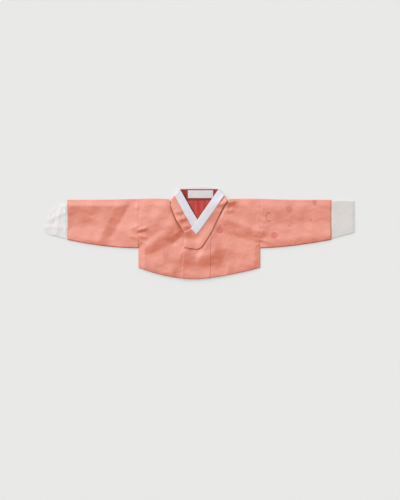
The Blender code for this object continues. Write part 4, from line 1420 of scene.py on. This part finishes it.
# %% Stitch tree
def stitch_tree(material):
    """A Geometry Nodes tree that sews one kind of thread along lines."""
    tree = bpy.data.node_groups.new("stitches_" + material.name, "GeometryNodeTree")
    tree.interface.new_socket("Line", in_out="INPUT", socket_type="NodeSocketGeometry")
    for label, value in (("Pitch", 0.003), ("Stitch length", 0.002), ("Thread width", 0.0004)):
        socket = tree.interface.new_socket(label, in_out="INPUT", socket_type="NodeSocketFloat")
        socket.default_value = value
    tree.interface.new_socket("Stitches", in_out="OUTPUT", socket_type="NodeSocketGeometry")
    start, end = tree.nodes.new("NodeGroupInput"), tree.nodes.new("NodeGroupOutput")
    line = place(tree, "GeometryNodeMeshToCurve", {"Mesh": start.outputs["Line"]})
    points = place(tree, "GeometryNodeCurveToPoints",
                   {"Curve": line.outputs[0], "Length": start.outputs["Pitch"]}, mode="LENGTH")
    ball = place(tree, "GeometryNodeMeshUVSphere", {"Segments": 6, "Rings": 4, "Radius": 0.5})
    thick = start.outputs["Thread width"]
    size = place(tree, "ShaderNodeCombineXYZ", {"X": start.outputs["Stitch length"], "Y": thick, "Z": thick})
    sized = {"Geometry": ball.outputs["Mesh"], "Scale": size.outputs[0]}
    stitch = place(tree, "GeometryNodeTransform", sized)
    turned = place(tree, "FunctionNodeAlignRotationToVector", {"Vector": points.outputs["Tangent"]}, axis="X")
    sewn = place(tree, "GeometryNodeInstanceOnPoints", {
        "Points": points.outputs["Points"], "Instance": stitch.outputs[0], "Rotation": turned.outputs[0],
    })
    real = place(tree, "GeometryNodeRealizeInstances", {"Geometry": sewn.outputs[0]})
    done = place(tree, "GeometryNodeSetMaterial", {"Geometry": real.outputs[0], "Material": material})
    tree.links.new(done.outputs[0], end.inputs["Stitches"])
    return tree


white_stitches = stitch_tree(white_thread)


def sew(name, lines, pitch, length, width):
    """Stitches along lines of points, in millimetres."""
    mesh = bpy.data.meshes.new(name)
    points, edges = [], []
    for line in lines:
        first = len(points)
        points.extend(((np.asarray(line) - (0.0, MIDDLE_Y, 0.0)) * MM).tolist())
        edges.extend((i, i + 1) for i in range(first, len(points) - 1))
    mesh.from_pydata(points, edges, [])
    line_object = add_object(name, mesh)
    sewing = line_object.modifiers.new("stitches", "NODES")
    sewing.node_group = white_stitches
    sizes = {"Pitch": pitch, "Stitch length": length, "Thread width": width}
    for item in white_stitches.interface.items_tree:
        if item.in_out == "INPUT" and item.name in sizes:
            sewing[item.identifier] = sizes[item.name] * MM
    stitches = plain(line_object, name)
    print(name, "faces:", len(stitches.data.polygons))
    return stitches


# %% Sew the label, the strip and the cuffs
CUFF_STITCH_ROW = -4


def label_line(inset):
    """A rectangle just inside the label's edge."""
    half = np.array(LABEL_SIZE) / 2 - inset
    corners = np.array(((-1, -1), (1, -1), (1, 1), (-1, 1), (-1, -1))) * half + LABEL_CENTRE
    line = resampled(corners, 120)
    return np.column_stack((line, label_height(line[:, 0], line[:, 1]) + 0.02))


def along_grid(line, up=0.05):
    """A line of a grid's own points, lifted to lie on the cloth."""
    return line + (0.0, 0.0, up)


front_rows = len(right_strip)
label_stitches = sew("label_stitches", (label_line(1.2),), 2.2, 1.5, 0.28)
strip_stitches = sew(
    "strip_stitches",
    (along_grid(strip_grid[2:front_rows - 1, -3]), along_grid(strip_grid[-len(left_strip) + 1:-2, -3])),
    5.0, 1.0, 0.3)
left_cuff_stitches, right_cuff_stitches = (
    sew(name, (along_grid(top[CUFF_STITCH_ROW, 2:-2]),), 2.6, 1.7, 0.26)
    for name, top in (("left_cuff_stitches", left_cuff_top), ("right_cuff_stitches", right_cuff_top))
)

# %% [markdown]
# Each piece is now tied to the root of the model, and the model's own part for the node it stands for is
# hidden. Its flat size, which comes from the cut itself, is printed.

def declare(piece, cut, node):
    """Ties a cloth to the root, hides the model's part for its node and prints its flat cut."""
    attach(piece, "root")
    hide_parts(node)
    width, length, area = cut.flat_size()
    print(f"{piece.name}: flat {width * 1000:.0f} x {length * 1000:.0f} mm, {area * 1e4:.0f} cm2,",
          len(piece.data.polygons), "faces")


for stitches, slot in (
    (label_stitches, "label_white"), (strip_stitches, "strip_white"),
    (left_cuff_stitches, "cuff_white"), (right_cuff_stitches, "cuff_white"),
):
    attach(stitches, "root")

declare(left_body, left_body_cut, "body_left")
declare(right_body, right_body_cut, "body_right")
declare(left_sleeve, left_sleeve_cut, "sleeve_left")
declare(right_sleeve, right_sleeve_cut, "sleeve_right")
declare(inner_panel, inner_panel_cut, "overlap_inner")
declare(outer_panel, outer_panel_cut, "overlap_outer")
declare(collar, collar_cut, "collar")
declare(strip, strip_cut, "collar_strip")
declare(neck_lining, lining_cut, "lining_back")
declare(label, label_cut, "label")
declare(left_cuff, left_cuff_cut, "cuff_left")
declare(right_cuff, right_cuff_cut, "cuff_right")

# %% [markdown]
# The table and the light. The table is plain and near white, and gives a little light of its own, because
# the real jacket casts hardly any shadow. Satin shows its folds by what it mirrors, so the sky is brighter
# on one side, as beside a wall of window: slopes that face it go pale and the others deepen. Towards the
# horizon it goes over to an even grey, which is what the steepest slopes mirror. A lamp near the cloth
# could show the folds too, but it would light the table unevenly.

# %% Table
FLOOR_SIZE = 24.0
FLOOR_DROP = 0.0003
TABLE_COLOUR = (0.46, 0.46, 0.455, 1.0)
TABLE_GLOW = (1.0, 1.0, 0.985, 1.0)
GLOW_STRENGTH = 0.36

floor_material, tree, surface = new_material("pale_table")
surface.inputs["Base Color"].default_value = TABLE_COLOUR
surface.inputs["Emission Color"].default_value = TABLE_GLOW
surface.inputs["Emission Strength"].default_value = GLOW_STRENGTH
surface.inputs["Roughness"].default_value = 0.75
surface.inputs["Specular IOR Level"].default_value = 0.2
half = FLOOR_SIZE / 2
floor_mesh = bpy.data.meshes.new("table")
corners = ((-half, -half), (half, -half), (half, half), (-half, half))
floor_mesh.from_pydata([(x, y, -FLOOR_DROP) for x, y in corners], [], [(0, 1, 2, 3)])
floor_mesh.materials.append(floor_material)
add_object("table", floor_mesh)
print("table:", FLOOR_SIZE, "m")

# %% Light
LIGHT_SIDE = Vector((-0.5, 0.85, 0.12)).normalized()
SKY_DARK = (0.10, 0.10, 0.105, 1.0)
SKY_BRIGHT = (1.74, 1.74, 1.72, 1.0)
SKY_EDGES = (-0.32, 0.42)  # from the dark to the bright side
SKY_LOW = (0.40, 0.40, 0.40, 1.0)  # at the horizon
SKY_RISE = (0.0, 0.75)  # heights between which it gives way to the rest
SKY_SEEN = (0.80, 0.80, 0.79, 1.0)  # behind the table
SUN_ENERGY = 0.4
SUN_SIZE = math.radians(20)
SUN_WAY = Vector((0.7, -0.7, -1.2))

world = bpy.data.worlds.new("studio")
world.use_nodes = True
tree = world.node_tree
direction = place(tree, "ShaderNodeTexCoord").outputs["Generated"]
towards = vectors(tree, "DOT_PRODUCT", direction, LIGHT_SIDE)
sky = blend(tree, step_between(tree, towards, *SKY_EDGES), SKY_DARK, SKY_BRIGHT)
up = place(tree, "ShaderNodeSeparateXYZ", {0: direction}).outputs["Z"]
sky = blend(tree, step_between(tree, up, *SKY_RISE), SKY_LOW, sky)
seen = place(tree, "ShaderNodeLightPath").outputs["Is Camera Ray"]
tree.links.new(blend(tree, seen, sky, SKY_SEEN), tree.nodes["Background"].inputs["Color"])
bpy.context.scene.world = world

sun = bpy.data.lights.new("window", "SUN")
sun.energy = SUN_ENERGY
sun.angle = SUN_SIZE
sun_object = add_object("window", sun)
sun_object.rotation_euler = SUN_WAY.to_track_quat("-Z", "Y").to_euler()
bpy.context.scene.view_settings.view_transform = "Standard"
print("a sky brighter on one side, and a weak soft sun")

# %% [markdown]
# The camera hangs straight above, a long way off with a long lens, as for a product photograph. The picture
# is 400 by 500 pixels and each one is 2.3 mm of table, so the view is 920 by 1150 mm.

# %% Camera
PIXEL = 0.0023
VIEW_HEIGHT = 500 * PIXEL
CAMERA_HEIGHT = 9.0
SENSOR = 36.0
CAMERA_XY = (0.0014, -0.0386)

camera_data = bpy.data.cameras.new("overhead")
camera_data.sensor_width = SENSOR
camera_data.lens = SENSOR * CAMERA_HEIGHT / VIEW_HEIGHT
camera = add_object("overhead", camera_data)
camera.location = (*CAMERA_XY, CAMERA_HEIGHT)
bpy.context.scene.camera = camera
print("lens, mm:", round(camera_data.lens, 1))
